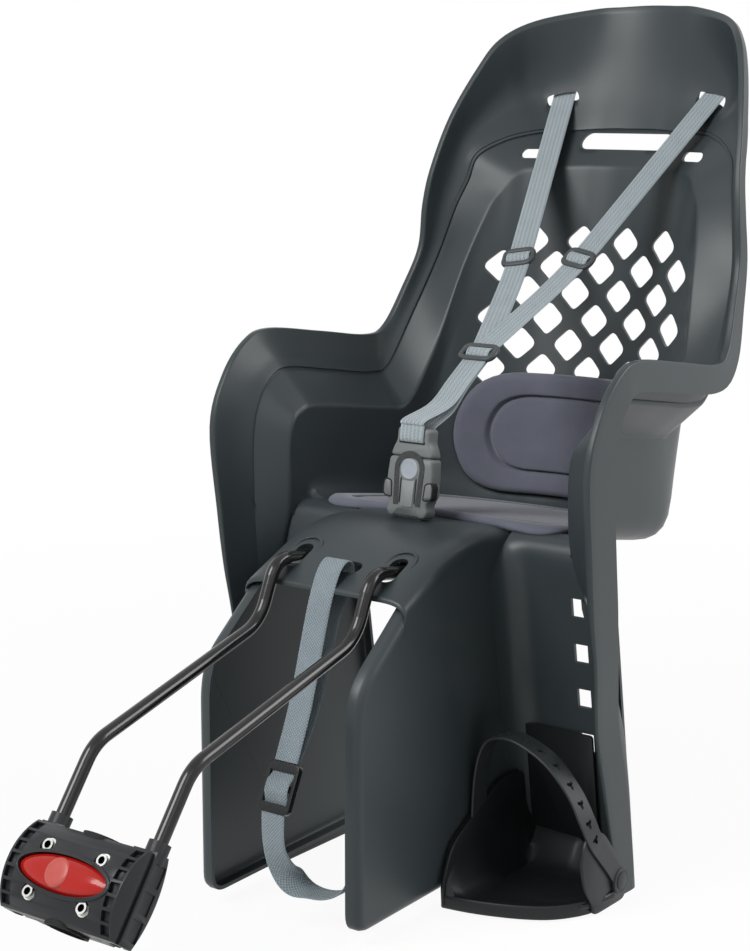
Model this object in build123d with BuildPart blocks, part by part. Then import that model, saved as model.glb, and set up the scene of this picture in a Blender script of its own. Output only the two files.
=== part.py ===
from build123d import *
from math import cos, radians, sin, sqrt, tan
import os

os.makedirs("parts", exist_ok=True)

# Driving dimensions in millimetres: X across, -Y forward, +Z up, origin on the clamped seat tube's axis
wall = 3.6
running_gap = 0.3
seat_tube_diameter = 31.8
block_tilt = 37.0
rod_diameter = 12.0
rod_half_gauge = 52.0
rod_slot_at = -11.0
pan_half_width = 153.5
pan_drop = 0.159
panel_outer = 87.6
panel_flange = 13.6
leg_lean = 0.16
leg_wall_top = (450.0, 200.0)
leg_hole_x = 161.0
leg_hole_top = 150.0
leg_hole_pitch = 43.0
leg_hole = (14.0, 18.0)
strap_width = 26.0
strap_thickness = 1.6
lattice_pitch_x = 25.5
lattice_pitch_z = 26.1
lattice_top = 447.3
lattice_hole = (26.0, 26.0)
lattice_corner = 8.0
handle_slot = (104.0, 16.0)
handle_slot_z = 548.0
small_slot = (28.0, 9.0)
harness_slot = (88.0, 827.0, 593.0)
buckle_foot = (0.0, 427.0, 215.0)

# Rails of the moulded rim, right half, from the leg over the armrest to the crown of the head
rim = [
    (203, 414, 110), (204, 406, 150), (205, 399, 203), (206, 391, 286), (206, 410, 334), (206, 441, 364),
    (205, 476, 373), (202, 555, 363), (199, 628, 353), (196, 656, 361), (189, 681, 400), (183, 700, 439),
    (180, 703, 482), (175, 710, 520), (166, 731, 572), (151, 759, 621), (136, 779, 651), (110, 806, 669),
    (60, 837, 680), (30, 847, 682), (0, 850, 683),
]
ledge_foot = [
    (192, 440, 110), (188, 434, 150), (186, 430, 203), (186, 429, 276), (186, 440, 312), (186, 458, 330),
    (185, 482, 335), (185, 550, 325), (184, 612, 316), (183, 644, 322), (180, 682, 372), (172, 716, 430),
    (162, 733, 479), (154, 745, 507), (148, 754, 532), (128, 773, 547), (108, 790, 554), (88, 806, 557),
    (48, 817, 559), (24, 820, 560), (0, 821, 560),
]
ledge_edge = [
    (185, 452, 110), (176, 450, 150), (157, 448, 203), (155, 446, 266), (155, 453, 290), (155, 466, 298),
    (154, 484, 301), (153, 545, 293), (152, 600, 285), (149, 634, 287), (143, 672, 340), (133, 706, 420),
    (121, 735, 478), (114, 746, 496), (104, 755, 511), (94, 762, 518), (82, 767, 521), (66, 772, 522),
    (36, 779, 524), (18, 781, 524), (0, 782, 524),
]
# Foot of the tub's wall, from the pan's front corner round to the middle of its rear edge
tub_foot = [
    (153.5, 474, 203), (153.5, 483, 203.5), (153.5, 493, 201.5), (153.5, 505, 199.5), (153.5, 522, 196.5),
    (153.5, 560, 190), (153.5, 598, 184), (151, 630, 178), (140, 652, 174), (122, 670, 171),
    (104, 682, 169), (90, 688, 168), (78, 692, 168), (66, 695, 167), (54, 697, 167), (42, 699, 166),
    (22, 701, 166), (11, 702, 166), (0, 702, 166),
]
first_tub_station = 2
first_back_station = 8
# How far the head bowl is hollowed behind a straight line from rim to ledge
bowl_depth = [0, 0, 0, 0, 0, 0, 0, 0, 0, 0, 0, 0, 3, 7, 11, 17, 23, 26, 9, 5, 4]
bowl_share = 0.6
# Depth of the lip that turns back from the rim
lip_depth = [38, 42, 42, 42, 36, 30, 28, 28, 27, 25, 20, 16, 13, 12, 11, 10, 9, 8, 8, 8, 8]
# Levels of the tub behind the ledge: height, half width, depth at the centre line
tub_levels = [(150, 153, 697), (300, 153.5, 732), (420, 134, 760), (532, 100, 783)]
tub_radius = 195.0
tub_corner = 40.0


def finish(block, label):
    """Name a finished piece and write its file."""
    block.part.label = label
    export_step(block.part, f"parts/{label}.step")


def mirrored(rail):
    """Carry a right-hand rail on over the centre line to the left."""
    right = [Vector(*point) for point in rail]
    left = [Vector(-point.X, point.Y, point.Z) for point in reversed(right[:-1])]
    return right + left


def rail_normal(rails, rail, station):
    """Outward normal of the moulding at one point of its rails, level at the two ends."""
    last = len(rails[rail]) - 1
    along = rails[rail][min(station + 1, last)] - rails[rail][max(station - 1, 0)]
    across = rails[min(rail + 1, len(rails) - 1)][station] - rails[max(rail - 1, 0)][station]
    normal = across.cross(along)
    if station in (0, last):
        normal = Vector(normal.X, normal.Y, 0)
    return normal.normalized()


def ribbon(rails, thickness):
    """Solid strip between rails, with its thickness on the outer side."""
    sections = []
    for station in range(len(rails[0])):
        inner = [rail[station] for rail in rails]
        outer = [
            rails[index][station] + rail_normal(rails, index, station) * thickness
            for index in range(len(rails))
        ]
        sections.append(Wire.make_polygon(inner + outer[::-1], close=True))
    return Solid.make_loft(sections, ruled=True)


def lip_end(rails, station):
    """Where the lip ends: back from the front edge, down from the armrest, behind the head."""
    last = len(rails) - 1
    along = rails[min(station + 1, last)] - rails[max(station - 1, 0)]
    side = 1 if station <= last / 2 else -1
    back = Vector(0, along.Z * side, -along.Y * side)
    head = max(0, rails[station].Z - 520) * 0.6
    back = (back + Vector(0, head, -0.4 * head)).normalized()
    return rails[station] + back * depths(lip_depth)[station]


def depths(values):
    """Mirror a right-hand list of depths over the centre line."""
    return values + values[-2::-1]


rim_rail = mirrored(rim)
foot_rail = mirrored(ledge_foot)
edge_rail = mirrored(ledge_edge)
flat_rail = [rim + (foot - rim) * bowl_share for rim, foot in zip(rim_rail, foot_rail)]
bowl_rail = [
    point + rail_normal([rim_rail, flat_rail, foot_rail], 1, station) * depths(bowl_depth)[station]
    for station, point in enumerate(flat_rail)
]
lip_rail = [lip_end(rim_rail, station) for station in range(len(rim_rail))]
lip_rail[0] = Vector(lip_rail[0].X, lip_rail[0].Y, rim_rail[0].Z)
lip_rail[-1] = Vector(lip_rail[-1].X, lip_rail[-1].Y, rim_rail[-1].Z)


def tub_depth(x, height):
    """How far back the tub's wall stands at a place across and a height."""
    level = next(index for index in range(1, len(tub_levels)) if height <= tub_levels[index][0])
    (low, _, near), (high, _, far) = tub_levels[level - 1], tub_levels[level]
    centre = near + (far - near) * (height - low) / (high - low)
    return centre - tub_radius + sqrt(tub_radius**2 - x**2)


def tub_point(edge, foot, share, station):
    """Point of the tub's wall part of the way from the ledge's edge to its foot."""
    point = edge + (foot - edge) * share
    if station < first_back_station:
        return point
    return Vector(point.X, tub_depth(point.X, point.Z), point.Z)


def right_half(rail):
    """Right-hand stations of a mirrored rail that border the tub."""
    return rail[first_tub_station : len(rim)]


edge_right = right_half(edge_rail)
foot_right = [tub_point(Vector(*point), Vector(*point), 0, at) for at, point in enumerate(tub_foot)]
wall_rails = []
for share in (0.33, 0.67):
    half = [tub_point(edge, foot, share, at) for at, (edge, foot) in enumerate(zip(edge_right, foot_right))]
    wall_rails.append(mirrored([tuple(point) for point in half]))
wall_rails.append(mirrored([tuple(point) for point in foot_right]))
upper_rails = [rim_rail, bowl_rail, foot_rail, edge_rail]
inner_rails = [rail[first_tub_station : len(rail) - first_tub_station] for rail in upper_rails]
moulding = ribbon(inner_rails + wall_rails, wall)
leg_rails = [rail[: first_tub_station + 1] for rail in upper_rails]
leg_wing = ribbon(leg_rails, wall)
rim_band = ribbon([rim_rail, lip_rail], wall)


def tub_block(grow, front):
    """Solid of the tub's room, grown by a wall's thickness for its outside."""
    with BuildPart() as room:
        for height, half, depth in tub_levels:
            side = half + grow
            radius = tub_radius + grow
            back = depth + grow
            shoulder = back - radius + sqrt(radius**2 - side**2)
            with BuildSketch(Plane.XY.offset(height)) as level:
                with BuildLine():
                    Line((-side, front), (side, front))
                    Line((side, front), (side, shoulder))
                    ThreePointArc((side, shoulder), (0, back), (-side, shoulder))
                    Line((-side, shoulder), (-side, front))
                make_face()
                fillet(level.vertices().group_by(Axis.Y)[-1], tub_corner + grow)
        loft(ruled=True)
    return room.part


def leg_wall_y(height):
    """Front face of the leg's back wall at a height."""
    return leg_wall_top[0] + (leg_wall_top[1] - height) * leg_lean


tub_room = tub_block(wall / 2, 290)

# Line of the harness on the right: slot in the head, kink below the slider, junction of both straps
slot_point = Vector(*harness_slot)
kink = Vector(31.4, 649.6, 426.3)
junction = Vector(0, 540, 356)
upper_run = (slot_point - kink).normalized()

# Seat moulding: tub, terraces, pan with apron, leg channels
apron_slope = 29.05
apron_normal = (0, -sin(radians(apron_slope)), cos(radians(apron_slope)))
apron_plane = Plane(origin=(0, 341, 197.8), x_dir=(1, 0, 0), z_dir=apron_normal)
pan_crest = (385.0, 222.2)
with BuildPart() as pan:
    with BuildSketch(Plane.YZ):
        with BuildLine():
            FilletPolyline((300, 175), pan_crest, (720, 169), radius=90)
            offset(amount=-wall, side=Side.RIGHT, closed=True)
        make_face()
    extrude(amount=pan_half_width + 10, both=True)
    add(tub_room, mode=Mode.INTERSECT)
    for side in (-1, 1):
        with Locations((side * (panel_outer - 1 + 100), 355, 200)):
            Box(200, 200, 200, mode=Mode.SUBTRACT)

panel_outline = [
    (341, 194.5), (241, 118), (231, 92), (231, -100), (leg_wall_y(-92) + 1, -92),
    (leg_wall_y(205) + 1, 205), (420, 214.5), (378, 213),
]
pocket_outline = [
    (346, 193), (241 + wall, 118), (231 + wall, 92), (231 + wall, -100 + wall),
    (leg_wall_y(-92) - 2, -92 + wall), (leg_wall_y(200) - 2, 200), (420, 208), (378, 207),
]
lip_plate = [
    (408, 150), (424, 48), (453, -57), (468, -104), (476, -113), (493, -113), (487, -68), (450, 117),
    (446, 150),
]
with BuildPart() as seat_shell:
    add(moulding)
    add(leg_wing)
    mirror(leg_wing, about=Plane.YZ)
    add(rim_band)
    add(pan.part)
    # Leg back walls
    with BuildSketch(Plane.YZ.offset(panel_outer - wall)):
        with BuildLine():
            Polyline(
                (leg_wall_y(204), 204), (leg_wall_y(204) + wall, 204), (leg_wall_y(-104) + wall, -104),
                (leg_wall_y(-104), -104), close=True,
            )
        make_face()
    back_walls = extrude(amount=201 - panel_outer + wall)
    mirror(back_walls, about=Plane.YZ)
    # Lips of the legs
    with BuildSketch(Plane.YZ.offset(199.5)) as lip_face:
        with BuildLine():
            Polyline(*lip_plate, close=True)
        make_face()
        fillet(lip_face.vertices().group_by(Axis.Y)[-2:], 5)
    lips = extrude(amount=wall)
    mirror(lips, about=Plane.YZ)
    # Inner leg panels with a turned edge
    with BuildSketch(Plane.YZ.offset(panel_outer)) as panel_face:
        with BuildLine():
            Polyline(*panel_outline, close=True)
        make_face()
        fillet(panel_face.vertices().group_by(Axis.Y)[0], 14)
    panels = extrude(amount=-panel_flange)
    mirror(panels, about=Plane.YZ)
    with BuildSketch(Plane.YZ.offset(panel_outer - wall)) as panel_pocket:
        with BuildLine():
            Polyline(*pocket_outline, close=True)
        make_face()
        fillet(panel_pocket.vertices().group_by(Axis.Y)[0], 10)
    pockets = extrude(amount=-panel_flange, mode=Mode.SUBTRACT)
    mirror(pockets, about=Plane.YZ, mode=Mode.SUBTRACT)
    # Lattice in the back
    for row in range(6):
        count = 4 if row % 2 == 0 else 5
        with BuildSketch(Plane.XZ.offset(-700)):
            with Locations((0, lattice_top - row * lattice_pitch_z)):
                with GridLocations(2 * lattice_pitch_x, 1, count, 1):
                    RectangleRounded(*lattice_hole, lattice_corner, rotation=45)
        extrude(amount=-120, mode=Mode.SUBTRACT)
    # Handle slot, harness slots and the lower harness slots
    with BuildSketch(Plane.XZ.offset(-700)):
        with Locations((0, handle_slot_z)):
            SlotOverall(*handle_slot)
        with Locations((-92, 535), (92, 535)):
            SlotOverall(*small_slot)
    extrude(amount=-180, mode=Mode.SUBTRACT)
    for side in (-1, 1):
        run = Vector(side * upper_run.X, upper_run.Y, upper_run.Z)
        across = (Vector(1, 0, 0) - run * run.X).normalized()
        slot_at = (side * slot_point.X, slot_point.Y, slot_point.Z)
        with BuildSketch(Plane(origin=slot_at, x_dir=across, z_dir=run)):
            SlotOverall(37, 7.5)
        extrude(amount=30, both=True, mode=Mode.SUBTRACT)
    # Height holes of the foot rests
    with BuildSketch(Plane.XZ.offset(-430)):
        for step in range(4):
            hole_z = leg_hole_top - step * leg_hole_pitch
            with Locations((-leg_hole_x, hole_z), (leg_hole_x, hole_z)):
                Rectangle(*leg_hole)
    extrude(amount=-80, mode=Mode.SUBTRACT)
    # Rod holes, the grooves over them, the safety strap's slot and the buckle's slot
    with BuildSketch(apron_plane.offset(6)):
        with Locations((-rod_half_gauge, rod_slot_at), (rod_half_gauge, rod_slot_at)):
            SlotOverall(34, 16, rotation=90)
        with Locations((0, -16)):
            SlotOverall(40, 15)
    extrude(amount=-16, mode=Mode.SUBTRACT)
    with BuildSketch(Plane.XY.offset(230)):
        with Locations((0, buckle_foot[1])):
            SlotOverall(32, 9)
    extrude(amount=-40, mode=Mode.SUBTRACT)
finish(seat_shell, "seat_shell")

# Bow: one bent rod, both legs in the block and its closed end under the pan
block_up = Vector(0, sin(radians(block_tilt)), cos(radians(block_tilt)))
block_front = Vector(0, -cos(radians(block_tilt)), sin(radians(block_tilt)))
rod_top = (298.0, 196.5)
bow_end = 620.0
rod_foot = block_up * -34
rod_knee = block_up * 109
rod_tail = (bow_end, rod_top[1] - (bow_end - rod_top[0]) * pan_drop)
rod_side = [(rod_foot.Y, rod_foot.Z), (rod_knee.Y, rod_knee.Z), (274, 143.4), rod_top, rod_tail]
rod_bends = [42, 42, 22, 40, 40, 22, 42, 42]
with BuildPart() as bow:
    right_points = [(rod_half_gauge, y, z) for y, z in rod_side]
    left_points = [(-rod_half_gauge, y, z) for y, z in reversed(rod_side)]
    with BuildLine() as bow_line:
        FilletPolyline(*right_points, *left_points, radius=rod_bends)
    with BuildSketch(Plane(origin=right_points[0], z_dir=tuple(block_up))):
        Circle(rod_diameter / 2)
    sweep(path=bow_line.wire())
finish(bow, "bow")

# Clamp block: planes look at its front and along its width
front_plane = Plane(origin=(0, 0, 0), x_dir=(1, 0, 0), z_dir=tuple(block_front))
side_plane = Plane(origin=(0, 0, 0), x_dir=tuple(block_front), z_dir=(-1, 0, 0))
tube_plane = Plane(origin=(0, 0, 0), x_dir=(1, 0, 0), z_dir=tuple(block_up))
block_half_width = 59.0
jaw_half_width = 61.0
jaw_middle = 38.0
jaw_low = -36.0
jaw_high = 38.0
cover_reach = 31.0
cover_half_height = 36.0
cover_radius = 50.5
cover_centre = cover_reach - cover_radius
cover_edge = cover_centre + sqrt(cover_radius**2 - cover_half_height**2)
cell_x = 52.5
cell_size = (9.0, 8.4)
cell_turn = 12.4
liner_outer = seat_tube_diameter / 2 + 2.6
bolt_x = 28.5
bolt_rows = (17.5, -20.8)
bolt_seat = 23.5
nut_seat = -21.0
lens_half = (45.5, 14.4)
lens_centre = -1.6
button_back = 24.0
bolt_places = [(side * bolt_x, row) for side in (-1, 1) for row in bolt_rows]

with BuildPart() as block_front_cover:
    with BuildSketch(side_plane):
        with BuildLine():
            low = (cover_edge, -cover_half_height)
            high = (cover_edge, cover_half_height)
            ThreePointArc(low, (cover_reach, 0), high)
            Polyline(high, (1, cover_half_height), (1, -cover_half_height), low)
        make_face()
    extrude(amount=block_half_width, both=True)
    with BuildSketch(front_plane.offset(20)):
        with Locations((0, lens_centre)):
            Ellipse(lens_half[0] + 3.5, lens_half[1] + 3.5)
    extrude(amount=cover_reach - 18.6)
    with BuildSketch(side_plane):
        with Locations((cover_centre, 0)):
            Circle(cover_radius + 1.4)
    extrude(amount=block_half_width, both=True, mode=Mode.INTERSECT)
    with BuildSketch(front_plane):
        with Locations((-58, 0), (58, 0)):
            Rectangle(44, 100)
    extrude(amount=9.5, mode=Mode.SUBTRACT)
    with BuildSketch(tube_plane):
        Circle(liner_outer + 0.1)
    extrude(amount=60, both=True, mode=Mode.SUBTRACT)
    with BuildSketch(front_plane.offset(20.6)):
        with Locations((0, lens_centre)):
            Ellipse(lens_half[0] + 0.5, lens_half[1] + 0.5)
    extrude(amount=20, mode=Mode.SUBTRACT)
    with BuildSketch(front_plane.offset(18.8)):
        with Locations((0, lens_centre)):
            Rectangle(116, 9)
    extrude(amount=6, mode=Mode.SUBTRACT)
    with BuildSketch(front_plane):
        with Locations((-52, lens_centre), (52, lens_centre)):
            Rectangle(11, 9)
    extrude(amount=20, mode=Mode.SUBTRACT)
    with BuildSketch(front_plane.offset(12)):
        with Locations((-38, lens_centre), (38, lens_centre)):
            Circle(4)
    extrude(amount=8, mode=Mode.SUBTRACT)
    with BuildSketch(front_plane):
        with Locations(*bolt_places):
            Circle(3.2)
    extrude(amount=40, mode=Mode.SUBTRACT)
    with BuildSketch(front_plane.offset(bolt_seat)):
        with Locations(*bolt_places):
            Circle(6.6)
    extrude(amount=20, mode=Mode.SUBTRACT)
    for cell in range(7):
        turn = radians(cell_turn * (cell - 3))
        outwards = block_front * cos(turn) + block_up * sin(turn)
        skin = block_front * cover_centre + outwards * cover_radius
        with BuildSketch(Plane(origin=tuple(skin), x_dir=(1, 0, 0), z_dir=tuple(outwards)).offset(2)):
            with Locations((-cell_x, 0), (cell_x, 0)):
                Rectangle(*cell_size)
        extrude(amount=-6, mode=Mode.SUBTRACT)
finish(block_front_cover, "block_front_cover")

with BuildPart() as block_rear_jaw:
    with BuildSketch(side_plane):
        with BuildLine():
            ThreePointArc((-6, jaw_low), (-13, 0), (-6, jaw_high))
            Polyline((-6, jaw_high), (-1, jaw_high), (-1, jaw_low), (-6, jaw_low))
        make_face()
    extrude(amount=jaw_half_width, both=True)
    with BuildSketch(side_plane):
        with BuildLine():
            ThreePointArc((-14, jaw_low), (-31, 0), (-14, jaw_high))
            Polyline((-14, jaw_high), (-1, jaw_high), (-1, jaw_low), (-14, jaw_low))
        make_face()
    extrude(amount=jaw_middle, both=True)
    with BuildSketch(front_plane.offset(-2)):
        with Locations((-48.9, 1), (48.9, 1)):
            Rectangle(24.2, jaw_high - jaw_low)
    extrude(amount=11.3)
    with BuildSketch(tube_plane.offset(30)):
        with Locations((-rod_half_gauge, 0), (rod_half_gauge, 0)):
            Circle(9.2)
    extrude(amount=17)
    with BuildSketch(tube_plane):
        Circle(liner_outer + 0.1)
    extrude(amount=60, both=True, mode=Mode.SUBTRACT)
    with BuildSketch(tube_plane.offset(-36)):
        with Locations((-rod_half_gauge, 0), (rod_half_gauge, 0)):
            Circle(rod_diameter / 2 + running_gap)
    extrude(amount=100, mode=Mode.SUBTRACT)
    with BuildSketch(front_plane.offset(4)):
        with Locations((-52, lens_centre), (52, lens_centre)):
            Rectangle(11, 9)
    extrude(amount=8, mode=Mode.SUBTRACT)
    with BuildSketch(front_plane.offset(-60)):
        with Locations(*bolt_places):
            Circle(3.2)
    extrude(amount=70, mode=Mode.SUBTRACT)
    with BuildSketch(front_plane.offset(nut_seat)):
        with Locations(*bolt_places):
            Circle(6.6)
    extrude(amount=-20, mode=Mode.SUBTRACT)
    for side in (-1, 1):
        with BuildSketch(side_plane.offset(-side * jaw_half_width)):
            with Locations((-1, -22), (-1, 0), (-1, 22)):
                Rectangle(14, 17)
        extrude(amount=side * 1.4, mode=Mode.SUBTRACT)
finish(block_rear_jaw, "block_rear_jaw")

with BuildPart() as tube_liner:
    with BuildSketch(tube_plane.offset(-38)):
        Circle(liner_outer)
        Circle(seat_tube_diameter / 2, mode=Mode.SUBTRACT)
        Rectangle(60, 2, mode=Mode.SUBTRACT)
    extrude(amount=76)
finish(tube_liner, "tube_liner")

with BuildPart() as clamp_washers:
    with BuildSketch(front_plane.offset(bolt_seat)):
        with Locations(*bolt_places):
            Circle(6.2)
        with Locations(*bolt_places):
            Circle(3.2, mode=Mode.SUBTRACT)
    extrude(amount=1.2)
finish(clamp_washers, "clamp_washers")

with BuildPart() as clamp_bolts:
    with BuildSketch(front_plane.offset(nut_seat - 5.5)):
        with Locations(*bolt_places):
            Circle(3)
    extrude(amount=bolt_seat + 1.2 - nut_seat + 5.5)
    with BuildSketch(front_plane.offset(bolt_seat + 1.2)):
        with Locations(*bolt_places):
            Circle(4.9)
    extrude(amount=3.4)
    with BuildSketch(front_plane.offset(bolt_seat + 1.8)):
        with Locations(*bolt_places):
            RegularPolygon(2.9, 6)
    extrude(amount=6, mode=Mode.SUBTRACT)
finish(clamp_bolts, "clamp_bolts")

with BuildPart() as clamp_nuts:
    with BuildSketch(front_plane.offset(nut_seat - 5)):
        with Locations(*bolt_places):
            RegularPolygon(5.7, 6)
        with Locations(*bolt_places):
            Circle(3.05, mode=Mode.SUBTRACT)
    extrude(amount=5)
finish(clamp_nuts, "clamp_nuts")

with BuildPart() as release_button:
    with BuildSketch(front_plane.offset(button_back)):
        with Locations((0, lens_centre)):
            Ellipse(*lens_half)
    extrude(amount=12)
    with BuildSketch(side_plane):
        with Locations((cover_centre, 0)):
            Circle(cover_radius + 2.2)
    extrude(amount=block_half_width, both=True, mode=Mode.INTERSECT)
    fillet(release_button.edges().group_by(SortBy.LENGTH)[-1], 2.4)
finish(release_button, "release_button")

with BuildPart() as latch_bar:
    with BuildSketch(front_plane.offset(button_back - 2)):
        with Locations((0, lens_centre)):
            Rectangle(112, 7)
    extrude(amount=2)
    with BuildSketch(front_plane.offset(9.6)):
        with Locations((-52, lens_centre), (52, lens_centre)):
            Rectangle(8, 7)
    extrude(amount=button_back - 2 - 9.6)
finish(latch_bar, "latch_bar")

with BuildPart() as button_springs:
    with BuildSketch(front_plane.offset(12.2)):
        with Locations((-38, lens_centre), (38, lens_centre)):
            Circle(3.4)
        with Locations((-38, lens_centre), (38, lens_centre)):
            Circle(2.2, mode=Mode.SUBTRACT)
    extrude(amount=button_back - 2 - 12.2)
finish(button_springs, "button_springs")

# Saddle under the pan that rides on the bow, with its clamp plate
rod_slope = Vector(0, 1, -pan_drop).normalized()
rod_up = Vector(0, pan_drop, 1).normalized()
saddle_y = 470.0
saddle_at = (0, saddle_y, rod_top[1] - (saddle_y - rod_top[0]) * pan_drop)
saddle_plane = Plane(origin=saddle_at, x_dir=(1, 0, 0), z_dir=tuple(rod_up))
saddle_half = (72.0, 38.0)
saddle_top = 31.89
rod_channel = rod_diameter / 2 + running_gap
saddle_screws = [(x, y) for x in (-28, 28) for y in (-24, 24)]
with BuildPart() as bow_saddle:
    with BuildSketch(saddle_plane.offset(-1)):
        RectangleRounded(2 * saddle_half[0], 2 * saddle_half[1], 6)
    extrude(amount=saddle_top + 1)
    with BuildSketch(Plane(origin=saddle_at, x_dir=(1, 0, 0), z_dir=tuple(rod_slope))):
        with Locations((-rod_half_gauge, 0), (rod_half_gauge, 0)):
            Circle(rod_channel)
    extrude(amount=60, both=True, mode=Mode.SUBTRACT)
    with BuildSketch(saddle_plane.offset(-1)):
        Rectangle(36, 60)
    extrude(amount=20, mode=Mode.SUBTRACT)
    with BuildSketch(saddle_plane.offset(-1)):
        with Locations(*saddle_screws):
            Circle(2.7)
    extrude(amount=40, mode=Mode.SUBTRACT)
    with BuildSketch(saddle_plane.offset(20)):
        with Locations(*saddle_screws):
            Circle(5.2)
    extrude(amount=20, mode=Mode.SUBTRACT)
finish(bow_saddle, "bow_saddle")

plate_top = -rod_diameter / 2 - running_gap
plate_thickness = 3.0
with BuildPart() as bow_clamp_plate:
    with BuildSketch(saddle_plane.offset(plate_top - plate_thickness)):
        RectangleRounded(2 * saddle_half[0], 2 * saddle_half[1] - 8, 6)
        with Locations(*saddle_screws):
            Circle(2.7, mode=Mode.SUBTRACT)
    extrude(amount=plate_thickness)
finish(bow_clamp_plate, "bow_clamp_plate")

screw_seat = plate_top - plate_thickness
with BuildPart() as bow_clamp_screws:
    with BuildSketch(saddle_plane.offset(screw_seat)):
        with Locations(*saddle_screws):
            Circle(2.5)
    extrude(amount=25 - screw_seat)
    with BuildSketch(saddle_plane.offset(screw_seat)):
        with Locations(*saddle_screws):
            Circle(4.6)
    extrude(amount=-3)
finish(bow_clamp_screws, "bow_clamp_screws")

with BuildPart() as bow_clamp_nuts:
    with BuildSketch(saddle_plane.offset(20)):
        with Locations(*saddle_screws):
            RegularPolygon(4.6, 6)
        with Locations(*saddle_screws):
            Circle(2.55, mode=Mode.SUBTRACT)
    extrude(amount=4)
finish(bow_clamp_nuts, "bow_clamp_nuts")

# Pads
pan_top_at = (0, saddle_y, pan_crest[1] - (saddle_y - pan_crest[0]) * pan_drop)
pan_plane = Plane(origin=pan_top_at, x_dir=(1, 0, 0), z_dir=tuple(rod_up))
pad_gap = 0.5
seat_pad_half = 133.0
seat_pad_thickness = 10.0
with BuildPart() as seat_pad:
    with BuildSketch(pan_plane.offset(pad_gap)) as seat_pad_plan:
        with BuildLine():
            Polyline((-seat_pad_half, 160), (-seat_pad_half, -8), (seat_pad_half, -8), (seat_pad_half, 160))
            ThreePointArc((seat_pad_half, 160), (0, 222), (-seat_pad_half, 160))
        make_face()
        fillet(seat_pad_plan.vertices().group_by(Axis.Y)[0], 26)
        fillet(seat_pad_plan.vertices().group_by(Axis.Y)[-1], 22)
    extrude(amount=seat_pad_thickness)
    fillet(seat_pad.faces().sort_by(Axis.Z)[-1].edges(), 4)
finish(seat_pad, "seat_pad")

back_pad_low = 193.0
back_pad_high = 314.0
back_pad_thickness = 14.0
back_pad_radius = tub_radius - 1.2
tub_lean = (tub_levels[1][2] - tub_levels[0][2]) / (tub_levels[1][0] - tub_levels[0][0])
back_pad_centre = tub_levels[0][2] + (back_pad_low - tub_levels[0][0]) * tub_lean - tub_radius
with BuildPart() as back_pad:
    with BuildSketch(Plane.XY.offset(back_pad_low)):
        with Locations((0, back_pad_centre)):
            Circle(back_pad_radius)
            Circle(back_pad_radius - back_pad_thickness, mode=Mode.SUBTRACT)
    extrude(amount=(back_pad_high - back_pad_low) * sqrt(1 + tub_lean**2), dir=(0, tub_lean, 1))
    with BuildSketch(Plane.XZ.offset(-600)):
        with BuildLine():
            FilletPolyline(
                (-126, 250), (-104, back_pad_high), (104, back_pad_high), (126, 250), (104, back_pad_low),
                (-104, back_pad_low), close=True, radius=24,
            )
        make_face()
    extrude(amount=-200, mode=Mode.INTERSECT)
finish(back_pad, "back_pad")

# Harness: two shoulder straps, their sliders, the junction and the doubled strap to the buckle
upper_level = Vector(0, upper_run.Y, upper_run.Z).normalized()
lower_level = Vector(0, kink.Y - junction.Y, kink.Z - junction.Z).normalized()
upper_normal = Vector(0, -upper_level.Z, upper_level.Y)
lower_normal = Vector(0, -lower_level.Z, lower_level.Y)
strap_stack = 1.2
strap_slant = strap_width / 0.973
anchor_reach = 20.0
slider_rise = 16.0
for side, name in ((1, "right"), (-1, "left")):
    stack = side * strap_stack
    mitre = (upper_level + lower_level).normalized()
    mitre_normal = Vector(0, -mitre.Z, mitre.Y)
    slot_end = slot_point + upper_run * anchor_reach
    stations = [
        (Vector(side * slot_end.X, slot_end.Y, slot_end.Z) + upper_normal * stack, upper_level),
        (Vector(side * kink.X, kink.Y, kink.Z) + mitre_normal * stack, mitre),
        (junction + lower_normal * stack, lower_level),
    ]
    with BuildPart() as shoulder_strap:
        for point, level in stations:
            with BuildSketch(Plane(origin=tuple(point), x_dir=(1, 0, 0), z_dir=tuple(level))):
                Rectangle(strap_slant, strap_thickness)
        loft(ruled=True)
    finish(shoulder_strap, f"shoulder_strap_{name}")

    run = Vector(side * upper_run.X, upper_run.Y, upper_run.Z)
    across = (Vector(1, 0, 0) - run * run.X).normalized()
    slider_at = Vector(side * kink.X, kink.Y, kink.Z) + run * slider_rise + upper_normal * stack
    with BuildPart() as shoulder_slider:
        with BuildSketch(Plane(origin=tuple(slider_at), x_dir=tuple(across), z_dir=tuple(run))):
            RectangleRounded(34, 7, 2)
            Rectangle(28.4, 2.8, mode=Mode.SUBTRACT)
        extrude(amount=11, both=True)
    finish(shoulder_slider, f"shoulder_slider_{name}")

    anchor_at = Vector(side * slot_end.X, slot_end.Y, slot_end.Z) + upper_normal * stack
    with BuildPart() as strap_anchor:
        with BuildSketch(Plane(origin=tuple(anchor_at), x_dir=(1, 0, 0), z_dir=tuple(upper_level))):
            RectangleRounded(44, 10, 2)
        extrude(amount=8)
    finish(strap_anchor, f"strap_anchor_{name}")

lower_length = 116.0
lower_thickness = 4.0
lower_section = Plane(origin=tuple(junction), x_dir=(1, 0, 0), z_dir=tuple(lower_level))
with BuildPart() as lower_strap:
    with BuildSketch(lower_section):
        Rectangle(strap_width, lower_thickness)
    extrude(amount=-lower_length)
finish(lower_strap, "lower_strap")

with BuildPart() as junction_slider:
    with BuildSketch(lower_section):
        RectangleRounded(40, 9.4, 2.5)
        Rectangle(34, 5.2, mode=Mode.SUBTRACT)
    extrude(amount=11, both=True)
finish(junction_slider, "junction_slider")

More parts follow.
